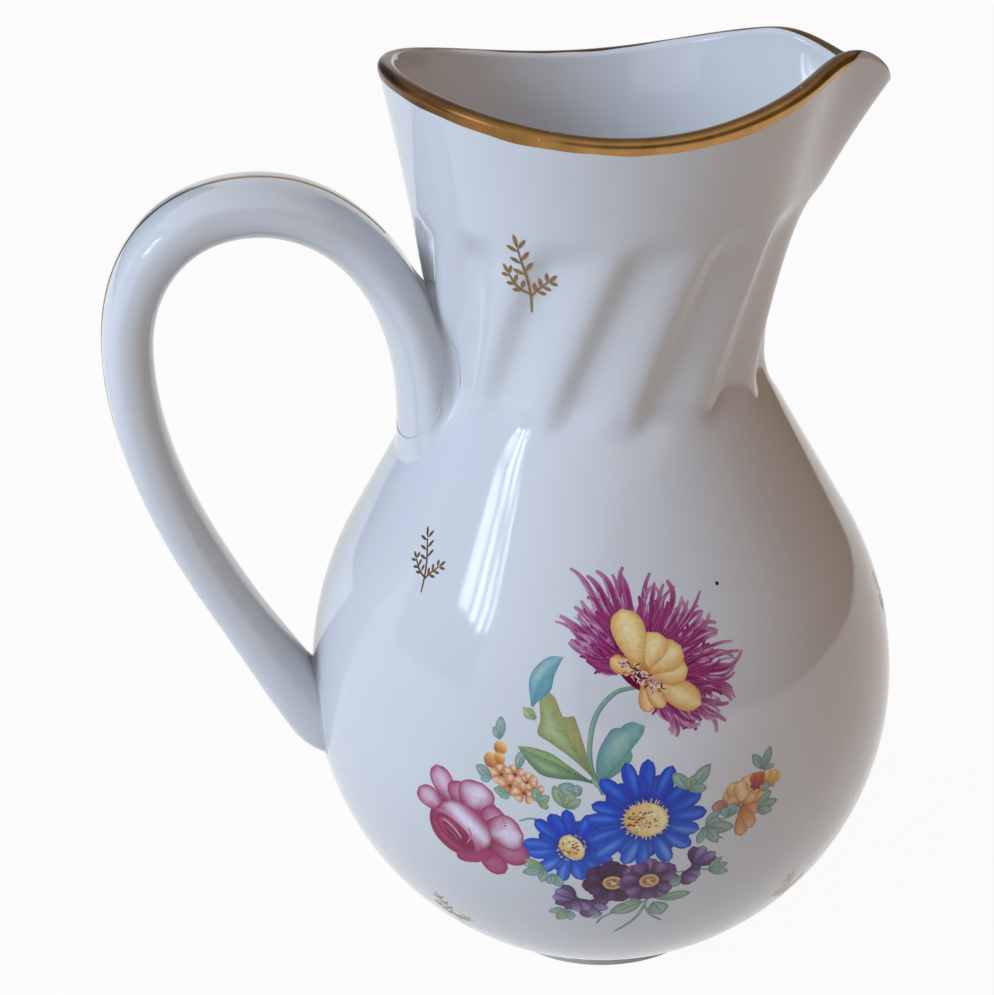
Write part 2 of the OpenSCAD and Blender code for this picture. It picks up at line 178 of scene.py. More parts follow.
def beakShare(a):  # the beak stands a little askew
    return spoutShare(a - jug["beakAt"])


def crestR(a, s=1.0):
    spout = spoutShare(a)
    return (jug["mouthR"] + jug["backSwell"] * (1 - spout) ** sharp["backSwell"]
            + jug["spoutSwell"] * spout ** sharp["spoutSwell"]
            + jug["beakReach"] * beakShare(a) ** mix(sharp["beakFoot"], sharp["beakTop"], s))


def lipSize(a):  # the lip is rolled thicker on the beak
    return jug["lipR"] + jug["noseR"] * spoutShare(a) ** sharp["nose"]


def lipPoint(a, turn, lift=0.0):
    size = lipSize(a)
    r = crestR(a) + jug["lipR"] - size + (size + lift) * cosd(turn)
    return Vector((r * cosd(a), r * sind(a), crestZ(a) - size + (size + lift) * sind(turn))) * mm


def crestZ(a):  # one flank of the beak stands up higher than the other, and the tip droops
    spout = spoutShare(a)
    hump = math.exp(-((fromSpout(a) - jug["humpAt"]) / jug["humpWide"]) ** 2)
    return (jug["rimLowZ"] + jug["backRise"] * (1 - spout) ** sharp["backRise"]
            + jug["spoutRise"] * spout ** sharp["spoutRise"]
            - jug["beakDroop"] * spout ** sharp["beakDroop"] + jug["humpRise"] * hump)


def plainR(a, z):  # outside of the wall without its flutes
    if z < jug["bellyZ"]:
        return bellyLowX + math.sqrt(max(0.0, jug["bellyLowR"] ** 2 - (z - jug["bellyZ"]) ** 2))
    if z < shoulderEnd[1]:
        return shoulderX + math.sqrt(jug["shoulderR"] ** 2 - (z - jug["bellyZ"]) ** 2)
    if z < coveEndZ:
        return shoulderEnd[0] - (z - shoulderEnd[1]) * math.tan(math.radians(jug["shoulderTilt"]))
    if z < waistZ:
        return jug["waistR"] + jug["coveR"] - math.sqrt(jug["coveR"] ** 2 - (z - waistZ) ** 2)
    s = held((z - waistZ) / (crestZ(a) - lipSize(a) - waistZ))
    flare = jug["neckFlare"] + jug["beakFlare"] * beakShare(a) ** sharp["beakFoot"]
    return jug["waistR"] + (crestR(a, s) + jug["lipR"] - jug["waistR"]) * s ** flare


def fluteCut(a, z):
    h = (z - waistZ + jug["fluteDrop"]) / jug["fluteHeight"]
    p = ((a - jug["fluteTurn"] - jug["fluteTwist"] * (z - waistZ)) * jug["flutes"] / 360) % 1
    fall = jug["fluteFall"]
    shape = (1 - cosd(180 * p / fall)) / 2 if p < fall else (1 + cosd(180 * (p - fall) / (1 - fall))) / 2
    return jug["fluteDepth"] * eased(h / jug["fluteFoot"]) * eased((1 - h) / jug["fluteHead"]) * shape


def outerR(a, z):
    return plainR(a, z) - fluteCut(a, z)


def innerR(a, z):
    return plainR(a, z) - mix(wallAcross, 2 * lipSize(a), held((z - neckZ) / (jug["rimLowZ"] - neckZ)))


def onJug(a, z, lift=0.0):  # point on the outside, lifted along the wall's normal
    r = outerR(a, z)
    slope = (plainR(a, z + 0.2) - plainR(a, z - 0.2)) / 0.4
    size = math.sqrt(1 + slope * slope)
    r += lift / size
    return Vector((r * cosd(a), r * sind(a), z - lift * slope / size)) * mm


# Glazed white earthenware, cast and dipped: an even gloss with slow ripples, faint colour drift,
# iron specks on the body and a bare, matt foot ring.
def makeGlaze(name, paleHex, deepHex, specks=()):
    material, tree = newMaterial(name)
    place = addNode(tree, "ShaderNodeTexCoord").outputs["Object"]
    drift = addNode(tree, "ShaderNodeTexNoise", None, {"Vector": place, "Scale": 1 / (28 * mm), "Detail": 2.0})
    tone = addNode(tree, "ShaderNodeMix", {"data_type": "RGBA"},
                   {"Factor": drift.outputs["Fac"], "A": hexColour(paleHex), "B": hexColour(deepHex)})
    coat = tone.outputs["Result"]
    for spot, size, code in specks:
        away = addNode(tree, "ShaderNodeVectorMath", {"operation": "DISTANCE"}, {0: place, 1: spot})
        near = addNode(tree, "ShaderNodeMapRange", None,
                       {"Value": away.outputs["Value"], "From Min": 0.7 * size * mm, "From Max": size * mm,
                        "To Min": 1.0, "To Max": 0.0})
        coat = addNode(tree, "ShaderNodeMix", {"data_type": "RGBA"},
                       {"Factor": near.outputs["Result"], "A": coat, "B": hexColour(code)}).outputs["Result"]
    height = addNode(tree, "ShaderNodeSeparateXYZ", None, {"Vector": place})
    bare = addNode(tree, "ShaderNodeMapRange", None,
                   {"Value": height.outputs["Z"], "From Min": 0.25 * mm, "From Max": 0.6 * mm,
                    "To Min": 1.0, "To Max": 0.0})
    body = addNode(tree, "ShaderNodeMix", {"data_type": "RGBA"},
                   {"Factor": bare.outputs["Result"], "A": coat, "B": hexColour("#cfc6b6")})
    rough = addNode(tree, "ShaderNodeMapRange", None,
                    {"Value": bare.outputs["Result"], "To Min": 0.09, "To Max": 0.75})
    ripple = addNode(tree, "ShaderNodeTexNoise", None, {"Vector": place, "Scale": 1 / (7 * mm), "Detail": 1.0})
    bump = addNode(tree, "ShaderNodeBump", None,
                   {"Height": ripple.outputs["Fac"], "Strength": 0.12, "Distance": 0.12 * mm})
    shader = addNode(tree, "ShaderNodeBsdfPrincipled", None,
                     {"Base Color": body.outputs["Result"], "Roughness": rough.outputs["Result"],
                      "Normal": bump.outputs["Normal"], "IOR": 1.5})
    addNode(tree, "ShaderNodeOutputMaterial", None, {"Surface": shader.outputs[0]})
    return material


ironSpecks = [(onJug(-74, 94.4), 0.45, "#2c2826"), (onJug(-52, 132.0), 0.3, "#6d655c")]  # place, size and colour
glazedBody = makeGlaze("glazed earthenware", "#dadadb", "#d3d3d4", ironSpecks)
glazedHandle = makeGlaze("glazed earthenware handle", "#dadadb", "#d2d2d3")
# painted shade: the slip at the lower handle joint is glazed a little darker grey than the body and the handle
shadedSlipGlaze = makeGlaze("slip glaze with painted shade", "#d2d2d4", "#c7c7ca")


# Bright gold lustre, brushed on and fired: a thin metal film, coloured by its tint attribute, which on the rim
# carries painted dark reflection, and rubbed through in spots.
def makeGilt(name, wearSize, wearFrom):
    material, tree = newMaterial(name)
    place = addNode(tree, "ShaderNodeTexCoord").outputs["Object"]
    streak = addNode(tree, "ShaderNodeTexNoise", None, {"Vector": place, "Scale": 1 / (5 * mm), "Detail": 4.0})
    tint = addNode(tree, "ShaderNodeAttribute", {"attribute_name": "tint"})
    level = addNode(tree, "ShaderNodeMapRange", None,
                    {"Value": streak.outputs["Fac"], "From Min": 0.3, "From Max": 0.7, "To Min": 0.78,
                     "To Max": 1.12})
    gold = addNode(tree, "ShaderNodeVectorMath", {"operation": "SCALE"},
                   {0: tint.outputs["Color"], "Scale": level.outputs["Result"]})
    rub = addNode(tree, "ShaderNodeTexNoise", None,
                  {"Vector": place, "Scale": 1 / (wearSize * mm), "Detail": 5.0, "Roughness": 0.65})
    worn = addNode(tree, "ShaderNodeMapRange", None,
                   {"Value": rub.outputs["Fac"], "From Min": wearFrom, "From Max": wearFrom + 0.06})
    colour = addNode(tree, "ShaderNodeMix", {"data_type": "RGBA"},
                     {"Factor": worn.outputs["Result"], "A": gold.outputs[0], "B": hexColour("#b9ad9d")})
    metal = addNode(tree, "ShaderNodeMapRange", None,
                    {"Value": worn.outputs["Result"], "To Min": 0.9, "To Max": 0.1})
    rough = addNode(tree, "ShaderNodeMapRange", None,
                    {"Value": streak.outputs["Fac"], "To Min": 0.22, "To Max": 0.4})
    shader = addNode(tree, "ShaderNodeBsdfPrincipled", None,
                     {"Base Color": colour.outputs["Result"], "Metallic": metal.outputs["Result"],
                      "Roughness": rough.outputs["Result"]})
    addNode(tree, "ShaderNodeOutputMaterial", None, {"Surface": shader.outputs[0]})
    return material


giltBand = makeGilt("gold lustre band", 3.0, 0.66)
giltDrawn = makeGilt("gold lustre line work", 2.0, 0.70)


# Printed and fired enamel: glassy colour a few hundredths thick, with a fine grain from the printed powder.
def makeEnamel(name):
    material, tree = newMaterial(name)
    tint = addNode(tree, "ShaderNodeAttribute", {"attribute_name": "tint"})
    place = addNode(tree, "ShaderNodeTexCoord").outputs["Object"]
    grain = addNode(tree, "ShaderNodeTexNoise", None, {"Vector": place, "Scale": 1 / (0.9 * mm), "Detail": 3.0})
    level = addNode(tree, "ShaderNodeMapRange", None,
                    {"Value": grain.outputs["Fac"], "To Min": 0.78, "To Max": 1.18})
    colour = addNode(tree, "ShaderNodeVectorMath", {"operation": "SCALE"},
                     {0: tint.outputs["Color"], "Scale": level.outputs["Result"]})
    shader = addNode(tree, "ShaderNodeBsdfPrincipled", None,
                     {"Base Color": colour.outputs[0], "Roughness": 0.14, "IOR": 1.42})
    addNode(tree, "ShaderNodeOutputMaterial", None, {"Surface": shader.outputs[0]})
    return material


# Body: the section is spun, with the neck straight, and the neck is then drawn out to the wavy rim
straightNeck = {"tall": 50, "lipR": 2, "outerRows": 64, "innerRows": 40}


def arcPoints(x, z, r, start, end, count):
    return [(x + r * cosd(mix(start, end, i / count)), z + r * sind(mix(start, end, i / count)))
            for i in range(count + 1)]


def jugSection():
    ringIn = jug["footR"] - jug["footRing"]
    edgeIn, edgeOut = jug["footEdgeIn"], jug["footEdgeOut"]
    tall, lipR = straightNeck["tall"], straightNeck["lipR"]
    outerRows, innerRows = straightNeck["outerRows"], straightNeck["innerRows"]
    blend = jug["footBlend"]
    blendX = jug["footR"] + blend
    blendZ = jug["bellyZ"] - math.sqrt((jug["bellyLowR"] + blend) ** 2 - (blendX - bellyLowX) ** 2)
    low = -math.degrees(math.atan2(jug["bellyZ"] - blendZ, blendX - bellyLowX))
    outside = [(r, jug["footRecess"]) for r in (0, 6, 12)]
    outside += arcPoints(ringIn - 1, jug["footRecess"] - edgeIn, edgeIn, 90, 0, 4)
    outside += arcPoints(ringIn + edgeIn, edgeIn, edgeIn, 180, 270, 5)
    outside += arcPoints(jug["footR"] - edgeOut, edgeOut, edgeOut, 270, 360, 6)
    outside += arcPoints(blendX, blendZ, blend, 180, 180 + low, 6)
    outside += arcPoints(bellyLowX, jug["bellyZ"], jug["bellyLowR"], low, 0, 40)[1:]
    outside += arcPoints(shoulderX, jug["bellyZ"], jug["shoulderR"], 0, jug["shoulderTilt"], 20)[1:]
    outside += [(mix(shoulderEnd[0], coveEndR, i / 10), mix(shoulderEnd[1], coveEndZ, i / 10)) for i in range(1, 11)]
    outside += arcPoints(jug["waistR"] + jug["coveR"], waistZ, jug["coveR"], 180 + jug["shoulderTilt"], 180, 10)[1:]
    neck = [(jug["waistR"], waistZ + tall * i / outerRows) for i in range(1, outerRows)]
    lip = arcPoints(jug["waistR"] - lipR, waistZ + tall, lipR, 0, 180, 14)
    inside = [(jug["waistR"] - 2 * lipR, waistZ + tall * i / innerRows) for i in range(innerRows - 1, -1, -1)]
    inside += [(innerR(0, z), z) for z in (mix(waistZ, neckZ, i / 8) for i in range(1, 9))]
    inside += arcPoints(shoulderX, jug["bellyZ"], jug["shoulderR"] - jug["wall"], jug["shoulderTilt"], 0, 14)
    floorAngle = -math.degrees(math.asin((jug["bellyZ"] - jug["floorZ"] - 0.6) / (jug["bellyLowR"] - jug["wall"])))
    inside += arcPoints(bellyLowX, jug["bellyZ"], jug["bellyLowR"] - jug["wall"], 0, floorAngle, 26)[1:]
    inside += [(r, jug["floorZ"]) for r in (21, 14, 7, 0)]
    return outside + neck + lip + inside


def crowded(a):  # the rings' points stand closer towards the spout
    return a - jug["crowd"] * sind(a)


def drawNeck(v):
    x, y, z = v.co / mm
    a, r = crowded(math.degrees(math.atan2(y, x))), math.hypot(x, y)
    top, lipR = waistZ + straightNeck["tall"], straightNeck["lipR"]
    outside = r > jug["waistR"] - lipR
    if z <= waistZ + 1e-4:
        r -= fluteCut(a, z) if outside and z > waistZ - jug["fluteDrop"] - 1 else 0
    elif z < top - 0.001:
        z = mix(waistZ, crestZ(a) - lipSize(a), (z - waistZ) / straightNeck["tall"])
        r = outerR(a, z) if outside else innerR(a, z)
    else:
        v.co = lipPoint(a, math.degrees(math.atan2(z - top, r - jug["waistR"] + lipR)))
        return
    v.co = Vector((r * cosd(a), r * sind(a), z)) * mm


def makeBody():
    bm = bmesh.new()
    points = [bm.verts.new((r * mm, 0, z * mm)) for r, z in jugSection()]
    for a, b in zip(points, points[1:]):
        bm.edges.new((a, b))
    bmesh.ops.spin(bm, geom=bm.verts[:] + bm.edges[:], cent=(0, 0, 0), axis=(0, 0, 1), angle=2 * math.pi,
                   steps=jug["steps"], use_merge=True)
    bmesh.ops.remove_doubles(bm, verts=bm.verts[:], dist=weldGap)
    for v in bm.verts:
        drawNeck(v)
    bmesh.ops.recalc_face_normals(bm, faces=bm.faces[:])
    finishMesh(bm, "jugBody", glazedBody, ["jug_body"])


makeBody()

# Handle: a pulled strap, in millimetres; u runs from the lower joint (0) over the top (2) to the tail (3)
strap = {
    "lowEnd": Vector((-59.1, 54.5)), "farOut": Vector((-90.6, 131.0)),
    "topEnd": Vector((-66.0, 158.7)), "tailEnd": Vector((-34.6, 116.5)),
    "lowTilt": 31.5, "turnR": 9.0, "roundness": 2.5,
    "lowPull": 31.2, "farPulls": (26.85, 16.8), "topPulls": (15.0, 18.0), "tailPull": 24.0,
    "thick": [(-1, 11.3), (0, 11.3), (0.3, 9.5), (0.6, 9.3), (1, 9.7), (1.6, 10.8), (2.1, 10.8), (2.6, 10.4),
              (3, 10.3)],
    "broad": [(-1, 20), (0, 20), (0.35, 17.5), (1, 18), (1.8, 20), (2.3, 21.5), (2.75, 25), (3, 25)],
    "lowFrom": 0.36, "tailFrom": 2.46, "lowPast": -0.7, "tailPast": 3.6, "sink": -0.9,
    "lowShare": 0.12, "tailShare": 0.82, "around": 72, "lengthwise": 190,
}


def strapMiddle(u):
    low, far, top, tail = strap["lowEnd"], strap["farOut"], strap["topEnd"], strap["tailEnd"]
    if u < 0:
        start = 180 + strap["lowTilt"]
        spot = lambda a: strap["turnR"] * Vector((cosd(a), sind(a)))
        return low + spot(start - 100 * u) - spot(start)
    if u > 3:
        return tail - Vector((0, 60 * (u - 3)))
    k = min(2, int(u))
    t = u - k
    (farBelow, farAbove), (topBefore, topAfter) = strap["farPulls"], strap["topPulls"]
    lowWay = Vector((-sind(strap["lowTilt"]), cosd(strap["lowTilt"])))
    curve = [
        (low, low + strap["lowPull"] * lowWay, far - Vector((0, farBelow)), far),
        (far, far + Vector((0, farAbove)), top - Vector((topBefore, 0)), top),
        (top, top + Vector((topAfter, 0)), tail + Vector((0, strap["tailPull"])), tail),
    ][k]
    return (curve[0] * (1 - t) ** 3 + curve[1] * 3 * t * (1 - t) ** 2
            + curve[2] * 3 * t * t * (1 - t) + curve[3] * t ** 3)


def strapPoint(u, turn, out=0.0, across=None):
    c = strapMiddle(u)
    d = (strapMiddle(u + 0.01) - strapMiddle(u - 0.01)).normalized()
    power = 2 / strap["roundness"]
    bent = lambda v: math.copysign(abs(v) ** power, v)
    if across is None:
        across = along(u, strap["broad"]) / 2 * bent(sind(turn))
    off = along(u, strap["thick"]) / 2 * bent(cosd(turn)) + out
    x, z = c.x - off * d.y, c.y + off * d.x
    hug = across / c.x
    return Vector((x, across, z)).lerp(Vector((x * math.cos(hug), x * math.sin(hug), z)), eased((u - 2.1) / 0.6))


def strapClear(p):  # distance of a point from the body's plain outside
    return math.hypot(p.x, p.y) - plainR(math.degrees(math.atan2(p.y, p.x)), p.z)


def strapMeet(turn, u, v, gap):  # where a line along the strap comes within a gap of the body
    for step in range(24):
        m = (u + v) / 2
        if strapClear(strapPoint(m, turn)) > gap:
            u = m
        else:
            v = m
    return (u + v) / 2


def makeHandle():
    bm = bmesh.new()
    bmesh.ops.create_grid(bm, x_segments=strap["around"], y_segments=strap["lengthwise"], size=1)
    ends = {}  # both ends of each line along the strap, just inside the wall
    lowShare, tailShare = strap["lowShare"], strap["tailShare"]
    for v in bm.verts:
        turn, y = 180 * (v.co.x + 1), (v.co.y + 1) / 2
        key = round(turn, 3)
        if key not in ends:
            ends[key] = (strapMeet(turn, strap["lowFrom"], strap["lowPast"], strap["sink"]),
                         strapMeet(turn, strap["tailFrom"], strap["tailPast"], strap["sink"]))
        low, tail = ends[key]
        if y < lowShare:
            u = mix(low, strap["lowFrom"], y / lowShare)
        elif y < tailShare:
            u = mix(strap["lowFrom"], strap["tailFrom"], (y - lowShare) / (tailShare - lowShare))
        else:
            u = mix(strap["tailFrom"], tail, (y - tailShare) / (1 - tailShare))
        v.co = strapPoint(u, turn) * mm
    bmesh.ops.remove_doubles(bm, verts=bm.verts[:], dist=weldGap)
    bmesh.ops.holes_fill(bm, edges=[e for e in bm.edges if e.is_boundary], sides=0)
    bmesh.ops.recalc_face_normals(bm, faces=bm.faces[:])
    finishMesh(bm, "strapHandle", glazedHandle, ["handle"])


makeHandle()

# Slip at the joints: a hollow fillet from the strap down to the body, glazed over
lute = {
    "rows": 18, "frontRows": 15, "around": 72, "sink": -0.1,
    "upper": {"reach": 2.0, "climb": 2.2, "from": "tailFrom", "past": "tailPast", "coat": glazedHandle},
    "lower": {"reach": 0.9, "climb": 0.9, "from": "lowFrom", "past": "lowPast", "coat": shadedSlipGlaze},
}


def makeLute(name, which, node):
    size, rows, front, around = lute[which], lute["rows"], lute["frontRows"], lute["around"]
    first, past = strap[size["from"]], strap[size["past"]]
    turns = [360 * i / around for i in range(around)]
    loop = [strapPoint(strapMeet(t, first, past, 0.0), t) for t in turns]
    angles = [math.degrees(math.atan2(p.y, p.x)) % 360 for p in loop]
    midA, midZ = (min(angles) + max(angles)) / 2, (min(p.z for p in loop) + max(p.z for p in loop)) / 2
    bm = bmesh.new()
    bmesh.ops.create_grid(bm, x_segments=rows, y_segments=around, size=1)
    for v in bm.verts:
        i = round((v.co.y + 1) * around / 2) % around
        k = round((v.co.x + 1) * rows / 2) % rows
        corner, a = loop[i], angles[i]
        # both edges run out just under the glaze, so that no seam shows
        high = strapPoint(strapMeet(turns[i], first, past, size["climb"]), turns[i], lute["sink"])
        away = Vector(((a - midA) * math.pi / 180 * plainR(a, corner.z), corner.z - midZ))
        step = away.normalized() * size["reach"]
        lowA, lowZ = a + math.degrees(step.x / plainR(a, corner.z)), corner.z + step.y
        low = onJug(lowA, lowZ, lute["sink"]) / mm
        if k <= front:
            t = k / front
            spot = high * (1 - t) ** 2 + corner * 2 * t * (1 - t) + low * t * t
        else:  # back of the fillet, inside the wall and the strap
            inside = onJug(mix(midA, a, 0.9), mix(midZ, corner.z, 0.9), -0.8) / mm
            spot = mix(low, inside, 0.5) if k == front + 1 else mix(inside, high, 0.35)
        v.co = spot * mm
    bmesh.ops.remove_doubles(bm, verts=bm.verts[:], dist=weldGap)
    bmesh.ops.recalc_face_normals(bm, faces=bm.faces[:])
    finishMesh(bm, name, size["coat"], [node])


makeLute("upperSlip", "upper", "upper_lute")
makeLute("lowerSlip", "lower", "lower_lute")

# Gilding: a brushed band over the lip and a line down the back of the handle
# the tints are the crest's painted dark reflection, the plain gold, the handle side's painted darker reflection and
# the beak's rubbed grey
gilding = {"band": 2.9, "beakBand": 0.3, "lipTurn": 118, "lift": 0.03, "film": 0.06, "line": 1.0,
           "rows": 18, "wallRows": 6, "tints": ("#3f2810", "#b98b50", "#6b4522", "#56503f"), "lineTint": "#a5793f"}


def makeGiltRim():
    bm = bmesh.new()
    tint = bm.verts.layers.float_color.new("tint")
    rows, wallRows = gilding["rows"], gilding["wallRows"]
    bmesh.ops.create_grid(bm, x_segments=jug["steps"], y_segments=rows, size=1)
    crestShade, front, left, beak = palette(*gilding["tints"])
    for v in bm.verts:
        a, k = crowded(180 * (v.co.x + 1)), round((v.co.y + 1) * rows / 2)
        wander = 0.14 * sind(5 * a + 20) + 0.09 * sind(11 * a) + 0.06 * sind(23 * a + 50)  # brushed edge
        # painted dark reflection: the gold is painted dark brown on the crest and a darker brown towards the handle
        # side; it is rubbed grey on the beak
        handleSideShade = held(0.5 - 0.75 * cosd(a + 36))
        rubbed = eased((fromSpout(a) + 21) / 9) * eased((15 - fromSpout(a)) / 8)
        v[tint] = front.lerp(left, handleSideShade).lerp(crestShade, 0.9 * eased((k - 8) / 5)).lerp(beak, 0.85 * rubbed)
        band = mix(gilding["band"], gilding["beakBand"], rubbed) + wander
        if k < wallRows and band > lipSize(a):
            z = mix(crestZ(a) - band, crestZ(a) - lipSize(a), k / wallRows)
            r = outerR(a, z) + gilding["lift"]
            v.co = Vector((r * cosd(a), r * sind(a), z)) * mm
        else:  # where the band is narrow it starts on the lip
            start = math.degrees(math.asin(held(1 - max(band, 0.1) / lipSize(a))))
            share = max(0, k - wallRows) / (rows - wallRows)
            v.co = lipPoint(a, mix(start, gilding["lipTurn"] + 40 * wander, share), gilding["lift"])
    bmesh.ops.remove_doubles(bm, verts=bm.verts[:], dist=0.0005 * mm)
    bmesh.ops.recalc_face_normals(bm, faces=bm.faces[:])
    finishMesh(bm, "giltRim", giltBand, ["gilt_rim"], gilding["film"])


def makeGiltLine():
    bm = bmesh.new()
    bmesh.ops.create_grid(bm, x_segments=4, y_segments=170, size=1)
    tint = bm.verts.layers.float_color.new("tint")
    for v in bm.verts:
        u = mix(strap["lowFrom"], strap["tailFrom"], (v.co.y + 1) / 2)
        v[tint] = hexColour(gilding["lineTint"])
        wide = gilding["line"] / 2 * (1 + 0.12 * math.sin(41 * u) + 0.1 * math.sin(17 * u))
        v.co = strapPoint(u, 0, gilding["lift"], v.co.x * wide) * mm
    bmesh.ops.recalc_face_normals(bm, faces=bm.faces[:])
    finishMesh(bm, "giltHandleLine", giltDrawn, ["gilt_handle_line"], gilding["film"])


makeGiltRim()
makeGiltLine()

# Flower spray: seats are degrees to the right of the spray's middle and millimetres of height over "zero";
# shapes are drawn flat in millimetres and laid on the belly
spray = {"turn": -101.0, "zero": 3.5, "film": 0.05, "layer": 0.4, "lowZ": 2.0, "highZ": 172, "stepZ": 0.5}
arcTable = [(spray["lowZ"], 0.0)]  # heights and the way up the wall to them
while arcTable[-1][0] < spray["highZ"]:
    lastZ, lastT = arcTable[-1]
    newZ = lastZ + spray["stepZ"]
    out = plainR(spray["turn"], newZ) - plainR(spray["turn"], lastZ)
    arcTable.append((newZ, lastT + math.hypot(spray["stepZ"], out)))


def arcOf(z):
    k = min(len(arcTable) - 2, max(0, int((z - spray["lowZ"]) / spray["stepZ"])))
    (z0, t0), (z1, t1) = arcTable[k], arcTable[k + 1]
    return mix(t0, t1, (z - z0) / (z1 - z0))


def heightOf(t):
    low, high = 0, len(arcTable) - 1
    while high - low > 1:
        mid = (low + high) // 2
        if arcTable[mid][1] <= t:
            low = mid
        else:
            high = mid
    (z0, t0), (z1, t1) = arcTable[low], arcTable[high]
    return mix(z0, z1, (t - t0) / (t1 - t0))


def seatPoint(seat, dx, dy, lift):
    z = heightOf(arcOf(seat[1] + spray["zero"]) + dy)
    a = spray["turn"] + seat[0]
    return onJug(a + math.degrees(dx / plainR(a, z)), z, lift)


def between(seat, other):  # flat step from one seat to another
    low, high = seat[1] + spray["zero"], other[1] + spray["zero"]
    across = math.radians(other[0] - seat[0]) * plainR(spray["turn"] + seat[0], (low + high) / 2)
    return Vector((across, arcOf(high) - arcOf(low)))


def tones(*stops):
    return [(y, hexColour(code)) for y, code in stops]


def layShape(bm, seat, spot, paint, lift, across=6, lengthwise=10):
    # a grid whose x runs over -1..1 and y over 0..1, placed by spot(x, y) in flat millimetres
    tint = bm.verts.layers.float_color.get("tint") or bm.verts.layers.float_color.new("tint")
    made = bmesh.ops.create_grid(bm, x_segments=across, y_segments=lengthwise, size=1)["verts"]
    for v in made:
        x, y = v.co.x, (v.co.y + 1) / 2
        dx, dy = spot(x, y)
        v.co = seatPoint(seat, dx, dy, lift * spray["layer"])
        # pigment lies deep under the gloss
        v[tint] = [max(0.0, 1.02 * part - 0.014) for part in paint(x, y)[:3]] + [1.0]
    for face in {face for v in made for face in v.link_faces}:  # every film faces out
        face.normal_update()
        if face.normal.dot(face.calc_center_median() * Vector((1, 1, 0))) < 0:
            face.normal_flip()
    bmesh.ops.remove_doubles(bm, verts=made, dist=0.0015 * mm)


def finishEnamel(bm, name, stuff, node):
    finishMesh(bm, name, makeEnamel(stuff), [node], spray["film"])


def turned(px, py, turn, offset=(0, 0)):
    return (offset[0] + px * cosd(turn) + py * sind(turn), offset[1] - px * sind(turn) + py * cosd(turn))


def petalSpot(turn, start, length, width, fat=1.6, blunt=0.7, bend=0.0, base=0.0, offset=(0, 0)):
    def spot(x, y):
        full = max(0.0, math.sin(math.pi * min(1.0, y ** fat))) ** blunt
        half = width / 2 * max(full, base * (1 - y))
        return turned(x * half + bend * y * y, start + length * y, turn, offset)
    return spot


def discSpot(rx, ry, offset=(0, 0), turn=0.0):
    def spot(x, y):  # x is the way round, y the way out
        return turned(rx * y * cosd(180 * x), ry * y * sind(180 * x), turn, offset)
    return spot


def strokeSpot(points, width, taper=0.15):
    # a brush stroke along flat points, thinner at both ends
    count = len(points) - 1

    def spot(x, y):
        k = min(count - 1, int(y * count))
        t = y * count - k
        a, b = Vector(points[k]), Vector(points[k + 1])
        before = Vector(points[k - 1]) if k else a
        after = Vector(points[k + 2]) if k + 2 <= count else b
        place = 0.5 * (2 * a + (b - before) * t + (2 * before - 5 * a + 4 * b - after) * t * t
                       + (3 * a - 3 * b + after - before) * t ** 3) if count > 1 else a.lerp(b, t)
        way = (b - a).normalized()
        half = width / 2 * mix(taper, 1, math.sin(math.pi * mix(0.08, 0.92, y)))
        return (place.x - way.y * x * half, place.y + way.x * x * half)
    return spot


def flatTone(code):
    colour = hexColour(code)
    return lambda x, y: colour


def edgeTone(stops, edge, strength=0.6, light=None, lightAt=(-0.15, 0.55), lightSize=0.35, lightStrength=0.5):
    def paint(x, y):
        colour = straight(y, stops)
        if light is not None:
            glow = math.exp(-((x - lightAt[0]) / lightSize) ** 2 - ((y - lightAt[1]) / (lightSize * 0.8)) ** 2)
            colour = colour.lerp(light, lightStrength * glow)
        return colour.lerp(edge, strength * abs(x) ** 3)
    return paint


def wobble(seed):
    dice = random.Random(seed)
    return lambda low, high: mix(low, high, dice.random())


# Blue daisies: strap petals, deep at the eye, brushed lighter along one side and paler where they hang
blueDaisies = {
    "large": {"seat": (8.3, 50.0), "petals": 16, "start": 2.8, "reach": 12.2, "width": 3.1, "paleAt": 175},
    "small": {"seat": (-5.3, 43.9), "petals": 13, "start": 1.6, "reach": 9.2, "width": 2.9, "paleAt": 200},
}


def strapPaint(deep, mid, light, streakAt, streak):
    def paint(x, y):
        colour = deep.lerp(mid, eased((y - 0.02) / 0.35))
        glow = math.exp(-((x - streakAt) / 0.4) ** 2) * eased((y - 0.2) / 0.45) * (1 - 0.5 * y)
        colour = colour.lerp(light, streak * glow)
        return colour.lerp(mid.lerp(deep, 0.5), 0.8 * max(abs(x) ** 3, held((y - 0.88) / 0.12)))
    return paint


def makeBlueDaisies():
    bm = bmesh.new()
    roll = wobble(4)
    level = 0.03
    deep, mid, light = palette("#001c74", "#0042c0", "#5590ea")
    hung, hungLight = palette("#1f5fcc", "#9fbff0")
    for name in ("small", "large"):
        d = blueDaisies[name]
        for row in (0, 1):
            for i in range(d["petals"]):
                turn = 360 * (i + 0.5 * (1 - row)) / d["petals"] + roll(-4, 4)
                reach = d["reach"] * (roll(0.88, 1.03) if row else roll(0.7, 0.8))
                low = held(0.35 + 0.8 * cosd(turn - d["paleAt"])) * roll(0.5, 1.0)
                under = 0.45 * (1 - row)
                paint = strapPaint(deep, mid.lerp(hung, low).lerp(deep, under), light.lerp(hungLight, low),
                                   roll(-0.4, 0.4), roll(0.35, 0.8) * (1 - under))
                layShape(bm, d["seat"], petalSpot(turn, d["start"], reach - d["start"], d["width"] * roll(0.88, 1.06),
                                                  1.9, 0.5, roll(-0.7, 0.7), 0.42), paint, level, 10, 12)
                level += 0.001
    finishEnamel(bm, "blueDaisies", "cobalt blue enamel", "blue_enamel")


